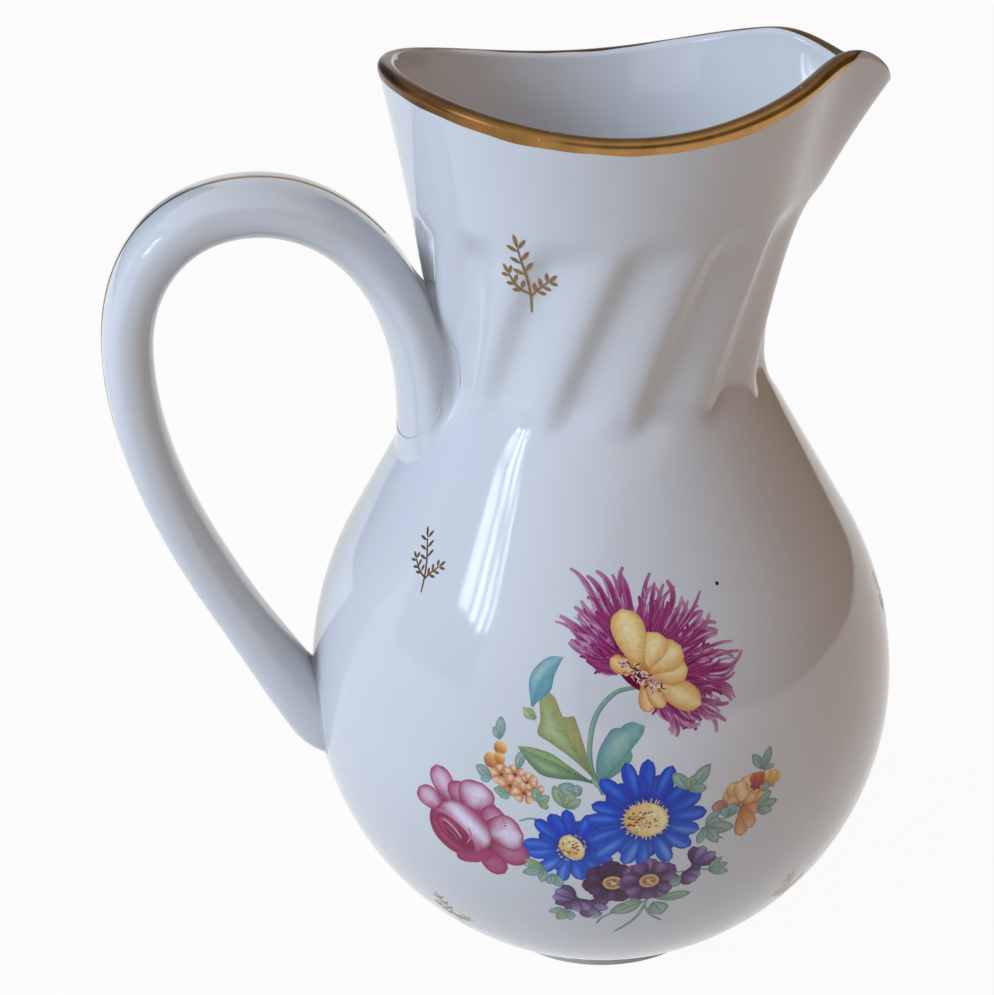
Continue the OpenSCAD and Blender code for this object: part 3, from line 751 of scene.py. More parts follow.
# Carmine flowers: a fringed poppy and a cabbage rose
fringedPoppy = {
    "seat": (8.0, 77.6), "washes": 34, "hairs": 176, "paleHairs": 60,
    "reach": [(-84, 9.5), (-76, 12), (-60, 16.5), (-48, 18.5), (-36, 20), (-26, 23.5), (-14, 20), (-6, 20.5),
              (4, 18.5), (13, 19), (26, 17.5), (39, 18.5), (54, 17.5), (66, 18.5), (78, 18), (88, 20.5), (100, 19.5),
              (111, 21), (124, 18.5), (137, 18.5), (146, 14), (154, 9)],
}
cabbageRose = {
    "seat": (-26.9, 44.9), "cup": (6.3, 5.9),
    "folds": [  # strokes in the heart: points, width and colour
        ([(-3.9, 1.0), (-2.6, 0.4), (-1.2, -0.9), (-0.2, -2.5)], 0.7, "#c98aa6"),
        ([(-4.2, -0.2), (-3.0, -0.7), (-1.9, -1.8), (-1.2, -3.2)], 0.8, "#a03c62"),
        ([(-3.6, 0.2), (-2.3, -0.5), (-1.2, -1.9), (-0.7, -3.4)], 0.5, "#6f1834"),
        ([(1.6, 0.6), (2.0, -0.8), (1.6, -2.2), (0.8, -3.4)], 0.5, "#b97a9c"),
        ([(-3.0, -1.8), (-2.2, -2.6), (-1.4, -3.6)], 0.6, "#741b38")],
    # turn, reach, width, bend and the paleness of each outer petal
    "petals": [(112, 14.2, 6.4, -0.8, 0.1), (138, 12.2, 5.4, 0.6, 0.05), (-50, 11.2, 5.2, -0.8, 0.45),
               (-19, 13.4, 5.0, -0.5, 0.5), (4, 10.4, 5.4, -0.4, 0.2), (46, 10.2, 6.0, 0, 0.3),
               (22, 12.0, 7.4, 0.7, 0.8), (62, 10.6, 5.6, 0, 0.25), (82, 12.8, 8.0, 0.8, 0.9),
               (160, 8.2, 8.4, 0.6, 0.0)],
}


def strandPoints(turn, start, end, swing, hook):  # a brushed hair that swings and curls over at its tip
    points = []
    for j in range(8):
        t = j / 7
        out = start + (end - start) * (t - 0.05 * abs(hook) * t ** 4)
        aside = swing * math.sin(2.6 * t) + hook * t ** 4
        points.append(turned(aside, out, turn))
    return points


def makePinkFlowers():
    bm = bmesh.new()
    roll = wobble(11)
    seat = fringedPoppy["seat"]
    level = 0.02
    glaze, pale, mid, deep = palette("#dadadb", "#cc9cba", "#9c3d76", "#78163f")
    washes = fringedPoppy["washes"]
    for i in range(washes):  # washed petals under the fringe
        turn = mix(-74, 146, i / (washes - 1)) + roll(-3, 3)
        reach = straight(turn, fringedPoppy["reach"]) * roll(0.62, 0.8)
        body = mid.lerp(pale, roll(0.2, 0.9))
        paint = edgeTone([(0, deep), (0.4, deep.lerp(mid, 0.3)), (0.62, body), (0.85, body.lerp(pale, 0.6)),
                          (1, pale.lerp(glaze, 0.5))],
                         body.lerp(pale, 0.5), 0.6)
        layShape(bm, seat, petalSpot(turn, 3, reach - 3, roll(2.6, 3.8), 1.3, 0.7, roll(-1.2, 1.2)),
                 paint, level, 6, 12)
        level += 0.0006
    for i in range(fringedPoppy["hairs"]):  # fringe
        turn = mix(-82, 152, (i * 0.618) % 1) + roll(-2, 2)
        full = straight(turn, fringedPoppy["reach"])
        outer = i % 5 < 2
        start = full * (roll(0.42, 0.62) if outer else roll(0.28, 0.46))
        end = full * (roll(0.86, 1.05) if outer else roll(0.6, 0.82))
        fade = roll(0, 1)
        root = deep.lerp(mid, 0.75 * fade)
        tip = mid.lerp(pale, 0.35 + 0.65 * roll(0, 1)) if outer else deep.lerp(mid, 0.4 + 0.6 * fade)
        stroke = strandPoints(turn + roll(-5, 5), start, end, roll(-1.2, 1.2), roll(-2.4, 2.4))
        layShape(bm, seat, strokeSpot(stroke, roll(0.7, 1.25), 0.34),
                 edgeTone([(0, root), (0.55, root.lerp(mid, 0.6)), (1, tip)], tip.lerp(pale, 0.35), 0.5),
                 level, 4, 16)
        level += 0.0002
    for i in range(fringedPoppy["paleHairs"]):  # pale hairs between
        turn = roll(-72, 146)
        full = straight(turn, fringedPoppy["reach"])
        start = full * roll(0.5, 0.7)
        stroke = strandPoints(turn + roll(-6, 6), start, start + full * roll(0.12, 0.24),
                              roll(-0.5, 0.5), roll(-0.6, 0.6))
        paint = edgeTone([(0, mid), (0.5, pale), (1, mid.lerp(pale, 0.6))], mid, 0.3)
        layShape(bm, seat, strokeSpot(stroke, roll(0.3, 0.5), 0.2), paint, level, 2, 8)
    layShape(bm, seat, discSpot(4.4, 1.9, (-0.5, -0.5), 38), flatTone("#7a2346"), level, 24, 3)
    seat = cabbageRose["seat"]
    level = 0.03
    deep, mid, pale, white = palette("#8c1c40", "#ad3a69", "#d9a2be", "#ece3ee")
    layShape(bm, seat, discSpot(7.4, 6.9, (0.3, -0.2)), flatTone("#8d2b4e"), level, 40, 4)
    for turn, reach, width, bend, light in cabbageRose["petals"]:
        body = mid.lerp(pale, light)
        paint = edgeTone([(0, deep), (0.36, deep), (0.5, deep.lerp(body, 0.6)), (0.68, body.lerp(white, 0.6 * light)),
                          (0.84, body.lerp(white, 0.4 * light)), (0.95, mid), (1, deep.lerp(mid, 0.4))],
                         deep.lerp(mid, 0.5), 1.0, white, (0.1, 0.7), 0.42, 0.8 * light)
        layShape(bm, seat, petalSpot(turn, 2, reach - 2, width, 2.2, 0.5, bend, 0.7), paint, level, 12, 18)
        level += 0.002
    wide, tall = cabbageRose["cup"]

    def cupPaint(x, y):  # a pale shoulder to the upper right and a deep, slanting heart to the lower left
        px, py = y * cosd(180 * x), y * sind(180 * x)
        u, v = (px - py) * 0.707, (px + py) * 0.707
        heart = math.hypot(u / 0.8, (v + 0.36) / 0.4)
        colour = mid.lerp(white, 0.98 * math.exp(-((v - 0.38) / 0.3) ** 2) * (1 - 0.5 * u * u))
        colour = colour.lerp(pale, 0.6 * math.exp(-((heart - 1.16) / 0.1) ** 2) * held(v + 0.8))
        colour = colour.lerp(deep, eased((1.2 - heart) / 0.35))
        colour = colour.lerp(hexColour("#b8587f"), 0.7 * math.exp(-((heart - 0.72) / 0.1) ** 2) * held(0.5 - u))
        return colour.lerp(deep.lerp(mid, 0.4), 0.9 * eased((y - 0.84) / 0.16) * (1 - 0.5 * held(v)))
    layShape(bm, seat, discSpot(wide, tall), cupPaint, level + 0.004, 64, 22)
    level += 0.006
    for points, brush, code in cabbageRose["folds"]:
        paint = edgeTone(tones((0, code), (1, code)), mid, 0.4)
        layShape(bm, seat, strokeSpot(points, brush, 0.15), paint, level, 4, 18)
        level += 0.001
    finishEnamel(bm, "pinkFlowers", "carmine enamel", "pink_enamel")


# Yellow enamel: the eyes of the daisies and the poppy's inner petals and stamens
yellowParts = {
    # breadth, height, turn and grains of pollen of each eye
    "eyes": {"large": (4.2, 3.7, 15, 64), "small": (2.2, 3.1, -26, 34)}, "rays": 30, "stamens": 150,
    "pollen": ("#9c3f3c", "#7f3044", "#b9683f", "#f8efd6", "#c78a4a"),
    "anthers": ("#4d1a30", "#8a3d5a", "#d4a6b4", "#f4e2bd", "#6e2443", "#efd9c4"),
    # turn, start, reach, width, bend and the warmth of each inner petal of the poppy
    "petals": [(-62, 0.6, 6.4, 3.4, 0.2, 0.8), (166, 0.6, 7.0, 3.4, 0.5, 0.9), (150, 0.8, 7.4, 3.0, -0.3, 0.8),
               (118, 0.6, 12.8, 5.2, 0.6, 0.4), (86, 0.4, 8.8, 5.4, 0.3, 0.5), (56, 0.4, 9.0, 6.2, 0.4, 0.25),
               (24, 0.4, 8.4, 5.8, 0.2, 0.1), (-11, 0.4, 12.6, 6.2, -0.5, 0.0)],
}


def makeYellowParts():
    bm = bmesh.new()
    roll = wobble(23)
    gold, straw, rust = palette("#e3bd74", "#f4e3ad", "#a0703c")

    def eyePaint(x, y):
        lit = held(0.5 + 0.6 * cosd(180 * x - 20))
        return gold.lerp(straw, lit * (0.4 + 0.6 * y)).lerp(rust, 0.55 * held((y - 0.86) / 0.14))
    for name, (wide, tall, turn, grains) in yellowParts["eyes"].items():
        seat = blueDaisies[name]["seat"]
        layShape(bm, seat, discSpot(wide, tall, (0, 0), turn), eyePaint, 0.09, 32, 7)
        for i in range(grains):  # stippled pollen, thickest to the left
            way, out = roll(0, 360), math.sqrt(roll(0, 0.5))
            code = yellowParts["pollen"][int(roll(0, 4.99))]
            spot = (wide * (out * cosd(way) - 0.16), tall * (out * sind(way) - 0.06))
            layShape(bm, seat, discSpot(roll(0.16, 0.32), roll(0.14, 0.26), spot), flatTone(code), 0.096, 8, 1)
        for i in range(yellowParts["rays"]):  # rays from the eye onto the petals
            way = 360 * i / yellowParts["rays"] + roll(-5, 5)
            edge = math.hypot(wide * sind(way + turn), tall * cosd(way + turn))
            layShape(bm, seat, petalSpot(way, edge * 0.92, wide * roll(0.14, 0.3), 0.3, 1, 0.8),
                     flatTone("#e0c990"), 0.094, 1, 3)
    seat = fringedPoppy["seat"]
    level = 0.1
    for turn, start, reach, width, bend, warmth in yellowParts["petals"]:
        shade = lambda cool, warm, warmth=warmth: hexColour(cool).lerp(hexColour(warm), warmth)
        paint = edgeTone([(0, shade("#b86f4a", "#b0623f")), (0.25, shade("#e6b56c", "#dc9a5e")),
                          (0.55, shade("#efcd84", "#e6b070")), (0.9, shade("#f0ca80", "#e4aa6a")),
                          (1, shade("#e2b067", "#d89a5c"))],
                         shade("#cf8f4e", "#c2743f"), 0.7, shade("#f8e8b2", "#f2d29a"), (0.05, 0.66), 0.45, 0.85)
        layShape(bm, seat, petalSpot(turn, start, reach - start, width, 1.75, 0.5, bend, 0.5), paint, level, 10, 14)
        level += 0.003
    for i in range(yellowParts["stamens"]):  # stamens along the foot of the petals
        way, slide, aside = roll(0, 360), roll(-1, 1), roll(-0.9, 1.3)
        code = yellowParts["anthers"][int(roll(0, 5.99))]
        spot = (3.5 * slide + 0.62 * aside, 0.78 * aside - 2.8 * slide + 0.7 * slide * slide - 0.6)
        if i % 3:
            layShape(bm, seat, petalSpot(way, 0, roll(0.6, 1.3), 0.24, 1, 0.7, roll(-0.5, 0.5), 0, spot),
                     flatTone(code), level, 1, 3)
        else:
            layShape(bm, seat, discSpot(roll(0.14, 0.28), roll(0.14, 0.26), spot), flatTone(code), level, 8, 1)
        level += 0.0001
    finishEnamel(bm, "yellowParts", "antimony yellow enamel", "yellow_enamel")


# Orange flowers: small blossoms and berries on the left, a marigold and buds on the right
orangeFlowers = {
    "blossoms": [(-18.2, 58.2, 2.1), (-15.6, 58.6, 1.9), (-16.6, 56.2, 2.2), (-13.4, 57.2, 2.1), (-13.8, 55.0, 2.2),
                 (-11.9, 55.9, 1.7)],
    "berries": [(-20.2, 60.8, 1.5), (-18.7, 61.4, 1.2), (-18.5, 63.5, 1.3)],
    "marigold": (26.6, 50.2),
    # turn, reach, width and colour of the marigold's petals
    "petals": [(-82, 6.2, 2.8, "#9c4238"), (176, 7.4, 3.0, "#cf8448"), (152, 6.6, 2.8, "#d8934f"),
               (112, 5.0, 2.8, "#d58a4e"), (70, 5.4, 3.4, "#dc9a56"), (-46, 5.0, 3.2, "#d99a58"),
               (44, 5.8, 3.4, "#e2a964"), (-24, 5.6, 3.4, "#e0a660"), (18, 6.2, 3.6, "#e9b873"),
               (-4, 5.0, 3.2, "#ecc080"), (62, 3.4, 2.8, "#e6b06a"), (-52, 3.2, 2.6, "#dba05c"),
               (8, 3.2, 3.0, "#efca8e")],
    "buds": [(29.8, 54.0, "#8f2f38", "#b9503c", "#cf7a44"), (33.0, 53.6, "#b9803c", "#dcae4c", "#f2d583")],
}


def makeOrangeFlowers():
    bm = bmesh.new()
    roll = wobble(31)
    level = 0.03
    amber, cream, red = palette("#d8924c", "#f2d48c", "#a53f3a")
    root, glow, rim = palette("#a05a36", "#f8e6c4", "#a2582f")
    paint = edgeTone(tones((0, "#a9563a"), (0.4, "#d98f5c"), (1, "#eabc92")), hexColour("#c27546"), 0.75,
                     hexColour("#f6dcc0"), (0, 0.66), 0.4, 0.7)

    def berryPaint(x, y):
        side = cosd(180 * x - 60)
        return amber.lerp(cream, held(side) * y).lerp(red, held(-side) * y)
    for az, z, size in orangeFlowers["blossoms"]:
        for i in range(5):
            layShape(bm, (az, z), petalSpot(72 * i + roll(-14, 14), 0.2, size, size * 0.95, 1.7, 0.5), paint, level,
                     6, 7)
            level += 0.001
        layShape(bm, (az, z), discSpot(0.42, 0.42), flatTone("#96443a"), level + 0.002, 10, 2)
    for az, z, size in orangeFlowers["berries"]:
        layShape(bm, (az, z), discSpot(size, size * 1.05), berryPaint, level, 20, 5)
    seat = orangeFlowers["marigold"]
    for turn, reach, width, code in orangeFlowers["petals"]:
        body = hexColour(code)
        paint = edgeTone([(0, root), (0.4, body), (0.9, body.lerp(glow, 0.35)), (1, body)], rim, 0.8)
        layShape(bm, seat, petalSpot(turn, 0.2, reach - 0.2, width, 1.9, 0.5, roll(-0.3, 0.3), 0.3),
                 paint, level, 8, 9)
        level += 0.002
    for az, z, dark, body, tip in orangeFlowers["buds"]:
        paint = edgeTone(tones((0, dark), (0.5, body), (1, tip)), hexColour(dark), 0.6)
        for turn in (-22, 68, 24):
            layShape(bm, (az, z), petalSpot(turn, -1.7, 4.2, 2.2, 1.5, 0.5), paint, level, 6, 8)
            level += 0.002
    finishEnamel(bm, "orangeFlowers", "orange enamel", "orange_enamel")


# Violet auriculas under the daisies, and buds at both sides
violetFlowers = {
    "petals": 7, "grains": 10,
    # seat, reach and the colours of each flower
    "auriculas": [(2.3, 35.4, 5.9, "#4c1446", "#6f3e72", "#2f0c30"),
                  (9.4, 35.5, 6.0, "#643468", "#9d7fb2", "#3a143e")],
    "buds": [(18.2, 38.4, 40, 5.4), (16.4, 36.2, 120, 4.2), (-5.2, 31.0, -70, 5.2), (-3.4, 29.6, 130, 5.6),
             (-4.8, 30.6, 168, 4.6)],
}


def makeVioletFlowers():
    bm = bmesh.new()
    roll = wobble(43)
    level = 0.06
    straw, ring, edge = palette("#e6bf7a", "#a9663f", "#dcae74")
    count = violetFlowers["petals"]

    def eyePaint(x, y):
        return straw.lerp(ring, math.exp(-((y - 0.55) / 0.2) ** 2)).lerp(edge, held((y - 0.75) / 0.25))
    for az, z, reach, *codes in violetFlowers["auriculas"]:
        body, light, dark = palette(*codes)
        for row in (0, 1):
            for i in range(count):
                glow = roll(0.1, 0.9)
                stops = [(0, dark), (0.35, dark.lerp(body, 0.5)), (0.75, body.lerp(light, 0.5 * glow)),
                         (1, body.lerp(light, 0.25))]
                paint = edgeTone(stops, dark, 0.75, light, (roll(-0.3, 0.3), 0.7), 0.34, glow)
                turn = 360 * (i + 0.5 * row) / count + roll(-6, 6)
                layShape(bm, (az, z), petalSpot(turn, 0.8, reach * (1.0 - 0.1 * row) - 0.8, 3.7, 2.1, 0.5, 0, 0.3),
                         paint, level, 8, 9)
                level += 0.0015
        layShape(bm, (az, z), discSpot(1.9, 1.8), eyePaint, level + 0.004, 18, 6)
        for i in range(violetFlowers["grains"]):
            way, out = roll(0, 360), roll(0, 1.0)
            grain = discSpot(0.2, 0.2, (out * cosd(way), out * sind(way)))
            layShape(bm, (az, z), grain, flatTone("#8c3f40" if i % 3 else "#f2dfb6"), level + 0.008, 8, 1)
    for az, z, turn, reach in violetFlowers["buds"]:
        for k, swing in enumerate((-50, 46, -18, 20)):
            body = ("#521f54", "#603066", "#86629c", "#74508c")[k]
            stops = tones((0, "#3a1c40"), (0.5, body), (1, "#a794bd" if k > 1 else "#6a4a78"))
            layShape(bm, (az, z), petalSpot(turn + swing, -0.8, reach, 2.5, 1.7, 0.5, roll(-0.4, 0.4)),
                     edgeTone(stops, hexColour("#39193c"), 0.8), level, 6, 9)
            level += 0.002
    finishEnamel(bm, "violetFlowers", "manganese violet enamel", "violet_enamel")


# Leaves and stems: large lobed leaves behind the flowers, and small sprigs round the spray
largeLeaves = [
    {"from": (-1.2, 59.0), "to": (-10.6, 75.4), "bow": -0.4,
     "left": [(0, 0.2), (0.17, 0.8), (0.34, 1.9), (0.5, 3.4), (0.62, 4.7), (0.67, 4.2), (0.72, 3.2), (0.79, 2.5),
              (0.9, 1.6), (1, 0)],
     "right": [(0, 0.2), (0.2, 1.2), (0.4, 2.2), (0.55, 2.8), (0.63, 2.9), (0.65, 1.3), (0.71, 1.1), (0.85, 1.3),
               (0.94, 0.7), (1, 0)],
     "tones": ("#98a76a", "#a5a067", "#65764c", "#93795a")},
    {"from": (-1.4, 58.0), "to": (-15.2, 64.2), "bow": 0.4,
     "left": [(0, 0.2), (0.2, 1.1), (0.42, 2.6), (0.6, 3.2), (0.78, 2.2), (0.9, 1.1), (1, 0)],
     "right": [(0, 0.2), (0.36, 0.9), (0.6, 1.5), (0.82, 1.1), (0.93, 0.5), (1, 0)],
     "tones": ("#6d8d64", "#93a96e", "#4d6850", "#56705a")},
    {"from": (-0.2, 57.6), "to": (8.2, 68.6), "bow": 0.2,
     "left": [(0, 0.2), (0.1, 1.8), (0.23, 3.3), (0.4, 4.4), (0.55, 4.8), (0.7, 4.9), (0.76, 4.4), (0.79, 3.7),
              (0.88, 3.3), (0.96, 2.2), (1, 0)],
     "right": [(0, 0.2), (0.24, 1.1), (0.48, 1.7), (0.58, 1.4), (0.63, 0.5), (0.75, 0.5), (0.9, 0.5), (1, 0)],
     "tones": ("#76a8a6", "#6f9f88", "#557f74", "#69708a")},
    {"from": (-12.8, 71.8), "to": (-7.2, 80.8), "bow": -1.2,
     "left": [(0, 0.3), (0.35, 2.0), (0.7, 2.2), (0.9, 1.6), (1, 0)],
     "right": [(0, 0.3), (0.4, 2.4), (0.66, 1.4), (0.8, 0.8), (1, 0)],
     "tones": ("#83b3bd", "#6ca0a8", "#5a929c", "#4a828c")},
    {"from": (-12.0, 69.6), "to": (-14.6, 71.6), "bow": 0, "left": [(0, 0.4), (0.5, 1.2), (1, 0)],
     "right": [(0, 0.4), (0.5, 1.0), (1, 0)],
     "tones": ("#a3b08a", "#9fae7c", "#7f9467", "#7d8c62")},
]
smallLeaves = [  # base seat, then turn, length and width of each leaf
    ((-3.6, 55.4), [(-66, 5.0, 3.6), (-20, 2.6, 2.0)]),
    ((-6.4, 52.6), [(-22, 5.6, 3.0), (24, 4.2, 2.6), (66, 4.0, 2.2)]),
    ((-11.4, 53.4), [(-8, 3.4, 2.4), (60, 3.0, 2.2), (110, 2.6, 1.8)]),
    ((-16.6, 54.6), [(-86, 3.6, 2.4), (-130, 2.4, 1.8)]), ((-20.0, 57.4), [(-62, 4.2, 2.8), (-110, 2.8, 2.0)]),
    ((-18.6, 65.0), [(-2, 5.0, 2.4), (-40, 3.0, 1.6)]), ((-15.2, 59.6), [(14, 4.4, 2.2)]),
    ((16.2, 55.4), [(-34, 5.4, 3.0), (12, 3.4, 2.4), (46, 7.0, 3.2), (88, 4.0, 2.4)]),
    ((19.6, 47.0), [(34, 4.6, 2.4), (72, 3.6, 2.4), (108, 6.8, 3.4), (146, 5.8, 2.8), (190, 4.4, 2.6)]),
    ((30.0, 48.4), [(46, 5.0, 2.4), (86, 5.4, 2.6), (118, 4.4, 2.4)]),
    ((24.0, 48.2), [(20, 3.4, 3.2), (-20, 2.8, 2.4)]),
    ((31.2, 56.4), [(-30, 4.8, 2.4), (20, 5.2, 2.4), (70, 2.8, 1.6)]), ((30.8, 52.0), [(60, 2.6, 2.4)]),
    ((21.2, 36.2), [(34, 4.2, 2.0), (72, 4.6, 2.2), (108, 5.2, 2.4)]),
    ((15.2, 36.0), [(200, 3.4, 3.2), (150, 2.6, 2.2)]),
    ((-10.6, 38.4), [(-70, 4.8, 2.6), (-112, 5.4, 2.8), (-160, 4.2, 2.6)]),
    ((-9.4, 37.4), [(150, 4.4, 3.0), (186, 3.4, 2.4)]),
    ((-6.6, 27.4), [(-96, 4.6, 2.6), (-140, 4.8, 3.0), (172, 3.8, 2.4)]),
    ((8.4, 30.0), [(-124, 7.6, 4.4), (-92, 4.0, 2.6)]), ((11.4, 30.2), [(82, 7.4, 3.2)]),
    ((10.6, 29.6), [(152, 5.6, 4.8)]), ((0.4, 26.8), [(-74, 3.4, 1.8), (-118, 3.6, 2.2)]),
]
stems = [  # seats along each stem, and its width
    ([(7.4, 75.6), (3.0, 74.8), (-0.6, 71.2), (-2.0, 66.0), (-1.7, 60.8), (0.4, 55.6)], 1.0),
    ([(-1.6, 58.8), (0.2, 57.0), (2.2, 54.6)], 1.2), ([(-15.0, 49.0), (-12.4, 49.8), (-9.0, 48.8)], 0.5),
    ([(-19.6, 62.0), (-17.0, 59.4), (-13.2, 55.6), (-9.8, 52.0)], 0.45),
    ([(18.6, 46.6), (22.4, 47.8), (26.0, 48.8), (30.0, 52.6), (31.6, 56.4)], 0.5),
    ([(19.0, 46.6), (23.4, 43.4)], 0.4), ([(26.8, 48.6), (31.6, 48.4)], 0.4),
    ([(14.6, 37.0), (19.6, 36.8), (24.0, 35.4)], 0.45), ([(-8.6, 39.4), (-11.6, 38.0), (-14.6, 38.8)], 0.4),
    ([(-5.0, 29.8), (-8.0, 26.6)], 0.4), ([(9.4, 32.0), (8.8, 28.4), (7.0, 24.4), (3.4, 20.6)], 0.7),
    ([(9.0, 29.0), (10.2, 26.0), (13.2, 23.4)], 0.6), ([(8.8, 30.0), (4.0, 27.8), (0.6, 25.6), (-0.6, 23.6)], 0.6),
    ([(15.4, 57.0), (13.2, 54.4)], 0.4),
]


def leafSpot(turn, length, left, right, bow):
    def spot(x, y):
        px = x * curved(y, left if x < 0 else right) + bow * math.sin(math.pi * y)
        return turned(px, length * y, turn)
    return spot


def makeLeaves():
    bm = bmesh.new()
    roll = wobble(57)
    level = 0.012
    for points, width in stems:
        seat = points[0]
        flat = [(0, 0)] + [tuple(between(seat, p)) for p in points[1:]]
        paint = edgeTone(tones((0, "#83a083"), (0.5, "#7d9f90"), (1, "#5f8062")), hexColour("#557a66"), 0.7,
                         hexColour("#b4c9b4"), (-0.4, 0.5), 0.6, 0.5)
        layShape(bm, seat, strokeSpot(flat, width, 0.55), paint, level, 4, 8 * (len(points) - 1))
        level += 0.0015
    for leaf in largeLeaves:
        way = between(leaf["from"], leaf["to"])
        turn = math.degrees(math.atan2(way.x, way.y))
        left, right, dark, rim = palette(*leaf["tones"])

        def paint(x, y, left=left, right=right, dark=dark, rim=rim):
            colour = left.lerp(right, eased((x + 0.2) / 0.4))
            colour = colour.lerp(dark, 0.7 * held((0.45 - y) / 0.45))
            vein = abs(((y * 5 - abs(x) * 1.5) % 1) - 0.5)  # side veins run out and up
            colour = colour.lerp(dark, 0.5 * held((0.16 - vein) / 0.16) * (1 - abs(x)))
            lit = math.exp(-((x + 0.45) / 0.25) ** 2 - ((y - 0.6) / 0.25) ** 2)
            colour = colour.lerp(hexColour("#dfe3c0"), 0.3 * lit)
            return colour.lerp(rim, 0.7 * abs(x) ** 6)
        blade = leafSpot(turn, way.length, leaf["left"], leaf["right"], leaf["bow"])
        layShape(bm, leaf["from"], blade, paint, level, 16, 56)
        ribHalf = [(0, 0.5), (1, 0.16)]
        rib = leafSpot(turn, way.length, ribHalf, ribHalf, leaf["bow"])
        layShape(bm, leaf["from"], lambda x, y, rib=rib: rib(0.4 * x, 0.02 + 0.7 * y),
                 edgeTone([(0, dark), (1, left.lerp(dark, 0.3))], dark, 0), level + 0.002, 1, 16)
        level += 0.008
    for seat, group in smallLeaves:
        for turn, length, width in group:
            warm = roll(0, 1) ** 2
            pale = hexColour("#a6bcb4").lerp(hexColour("#a9b78e"), warm)
            dark = hexColour("#64837b").lerp(hexColour("#70895f"), warm)
            length, width = 0.9 * length, 0.85 * width
            stops = [(0, dark), (0.4, dark.lerp(pale, 0.5)), (0.8, pale.lerp(dark, 0.3)), (1, dark)]
            paint = edgeTone(stops, dark, 0.7, pale, (-0.35, 0.5), 0.4, 0.8)
            layShape(bm, seat, petalSpot(turn, 0, length, width, 1.1, 0.75, roll(-0.6, 0.6)), paint, level, 6, 10)
            rib = petalSpot(turn, 0, length, width, 1.1, 0.75, 0)
            layShape(bm, seat, lambda x, y, rib=rib: rib(0.07 * x, 0.05 + 0.6 * y),
                     flatTone("#5f7e76"), level + 0.001, 1, 6)
            level += 0.001
    finishEnamel(bm, "leavesAndStems", "copper green enamel", "green_enamel")


# Gilt sprigs strewn over the belly and neck: seat, turn and length
giltSprigs = [
    ((-22.2, 147.4), 4, 16.0), ((-43.6, 92.4), -8, 13.0), ((-39.0, 18.4), 8, 13.0), ((48.4, 22.0), -14, 13.0),
    ((85.0, 72.0), 4, 12.5), ((150.0, 62.5), 0, 13.0), ((196.0, 78.5), 6, 13.0), ((240.0, 36.0), -8, 13.0),
    ((120.0, 148.0), 6, 15.0),
]
# the shoots of a sprig 16 mm long: points, places of the pairs of leaflets and their length
sprigShoots = [([(0.6, -8), (0.5, -4), (-0.1, 0), (-1.5, 4.6)], [0.64, 0.8, 0.96], 2.5),
               ([(0.6, -4.8), (1.9, -3.3), (3.9, -1.5)], [0.3, 0.62, 0.94], 1.9),
               ([(0.5, -4.4), (-1.5, -3.0), (-3.3, -0.6)], [0.3, 0.62, 0.94], 1.8)]


def makeSprigs():
    bm = bmesh.new()
    gold = flatTone("#8d7353")
    for seat, turn, length in giltSprigs:
        level = 0.3 if seat[1] > 120 else 0.03  # clear of the flutes' facets on the neck
        unit = length / 16
        for points, pairs, size in sprigShoots:
            spine = [Vector(turned(x * unit, y * unit, turn)) for x, y in points]
            layShape(bm, seat, strokeSpot([tuple(p) for p in spine], 0.44, 0.6), gold, level, 2, 14)
            end = spine[-1] - spine[-2]
            away = math.degrees(math.atan2(end.x, end.y))
            leaves = [(spine[-1], away, size * 1.15)]
            for share in pairs:
                k = min(len(spine) - 2, int(share * (len(spine) - 1)))
                spot = spine[k].lerp(spine[k + 1], share * (len(spine) - 1) - k)
                leaves += [(spot, away - 52, size), (spot + 0.12 * end, away + 52, size)]
            for spot, way, long in leaves:
                leaflet = petalSpot(way, 0.1, long * unit, 0.74 * unit, 1.15, 0.7, 0, 0, tuple(spot))
                layShape(bm, seat, leaflet, gold, level + 0.003, 4, 6)
    finishMesh(bm, "giltSprigs", giltDrawn, ["gilt_sprigs"], spray["film"])


makeLeaves()
makeBlueDaisies()
makePinkFlowers()
makeYellowParts()
makeOrangeFlowers()
makeVioletFlowers()
makeSprigs()

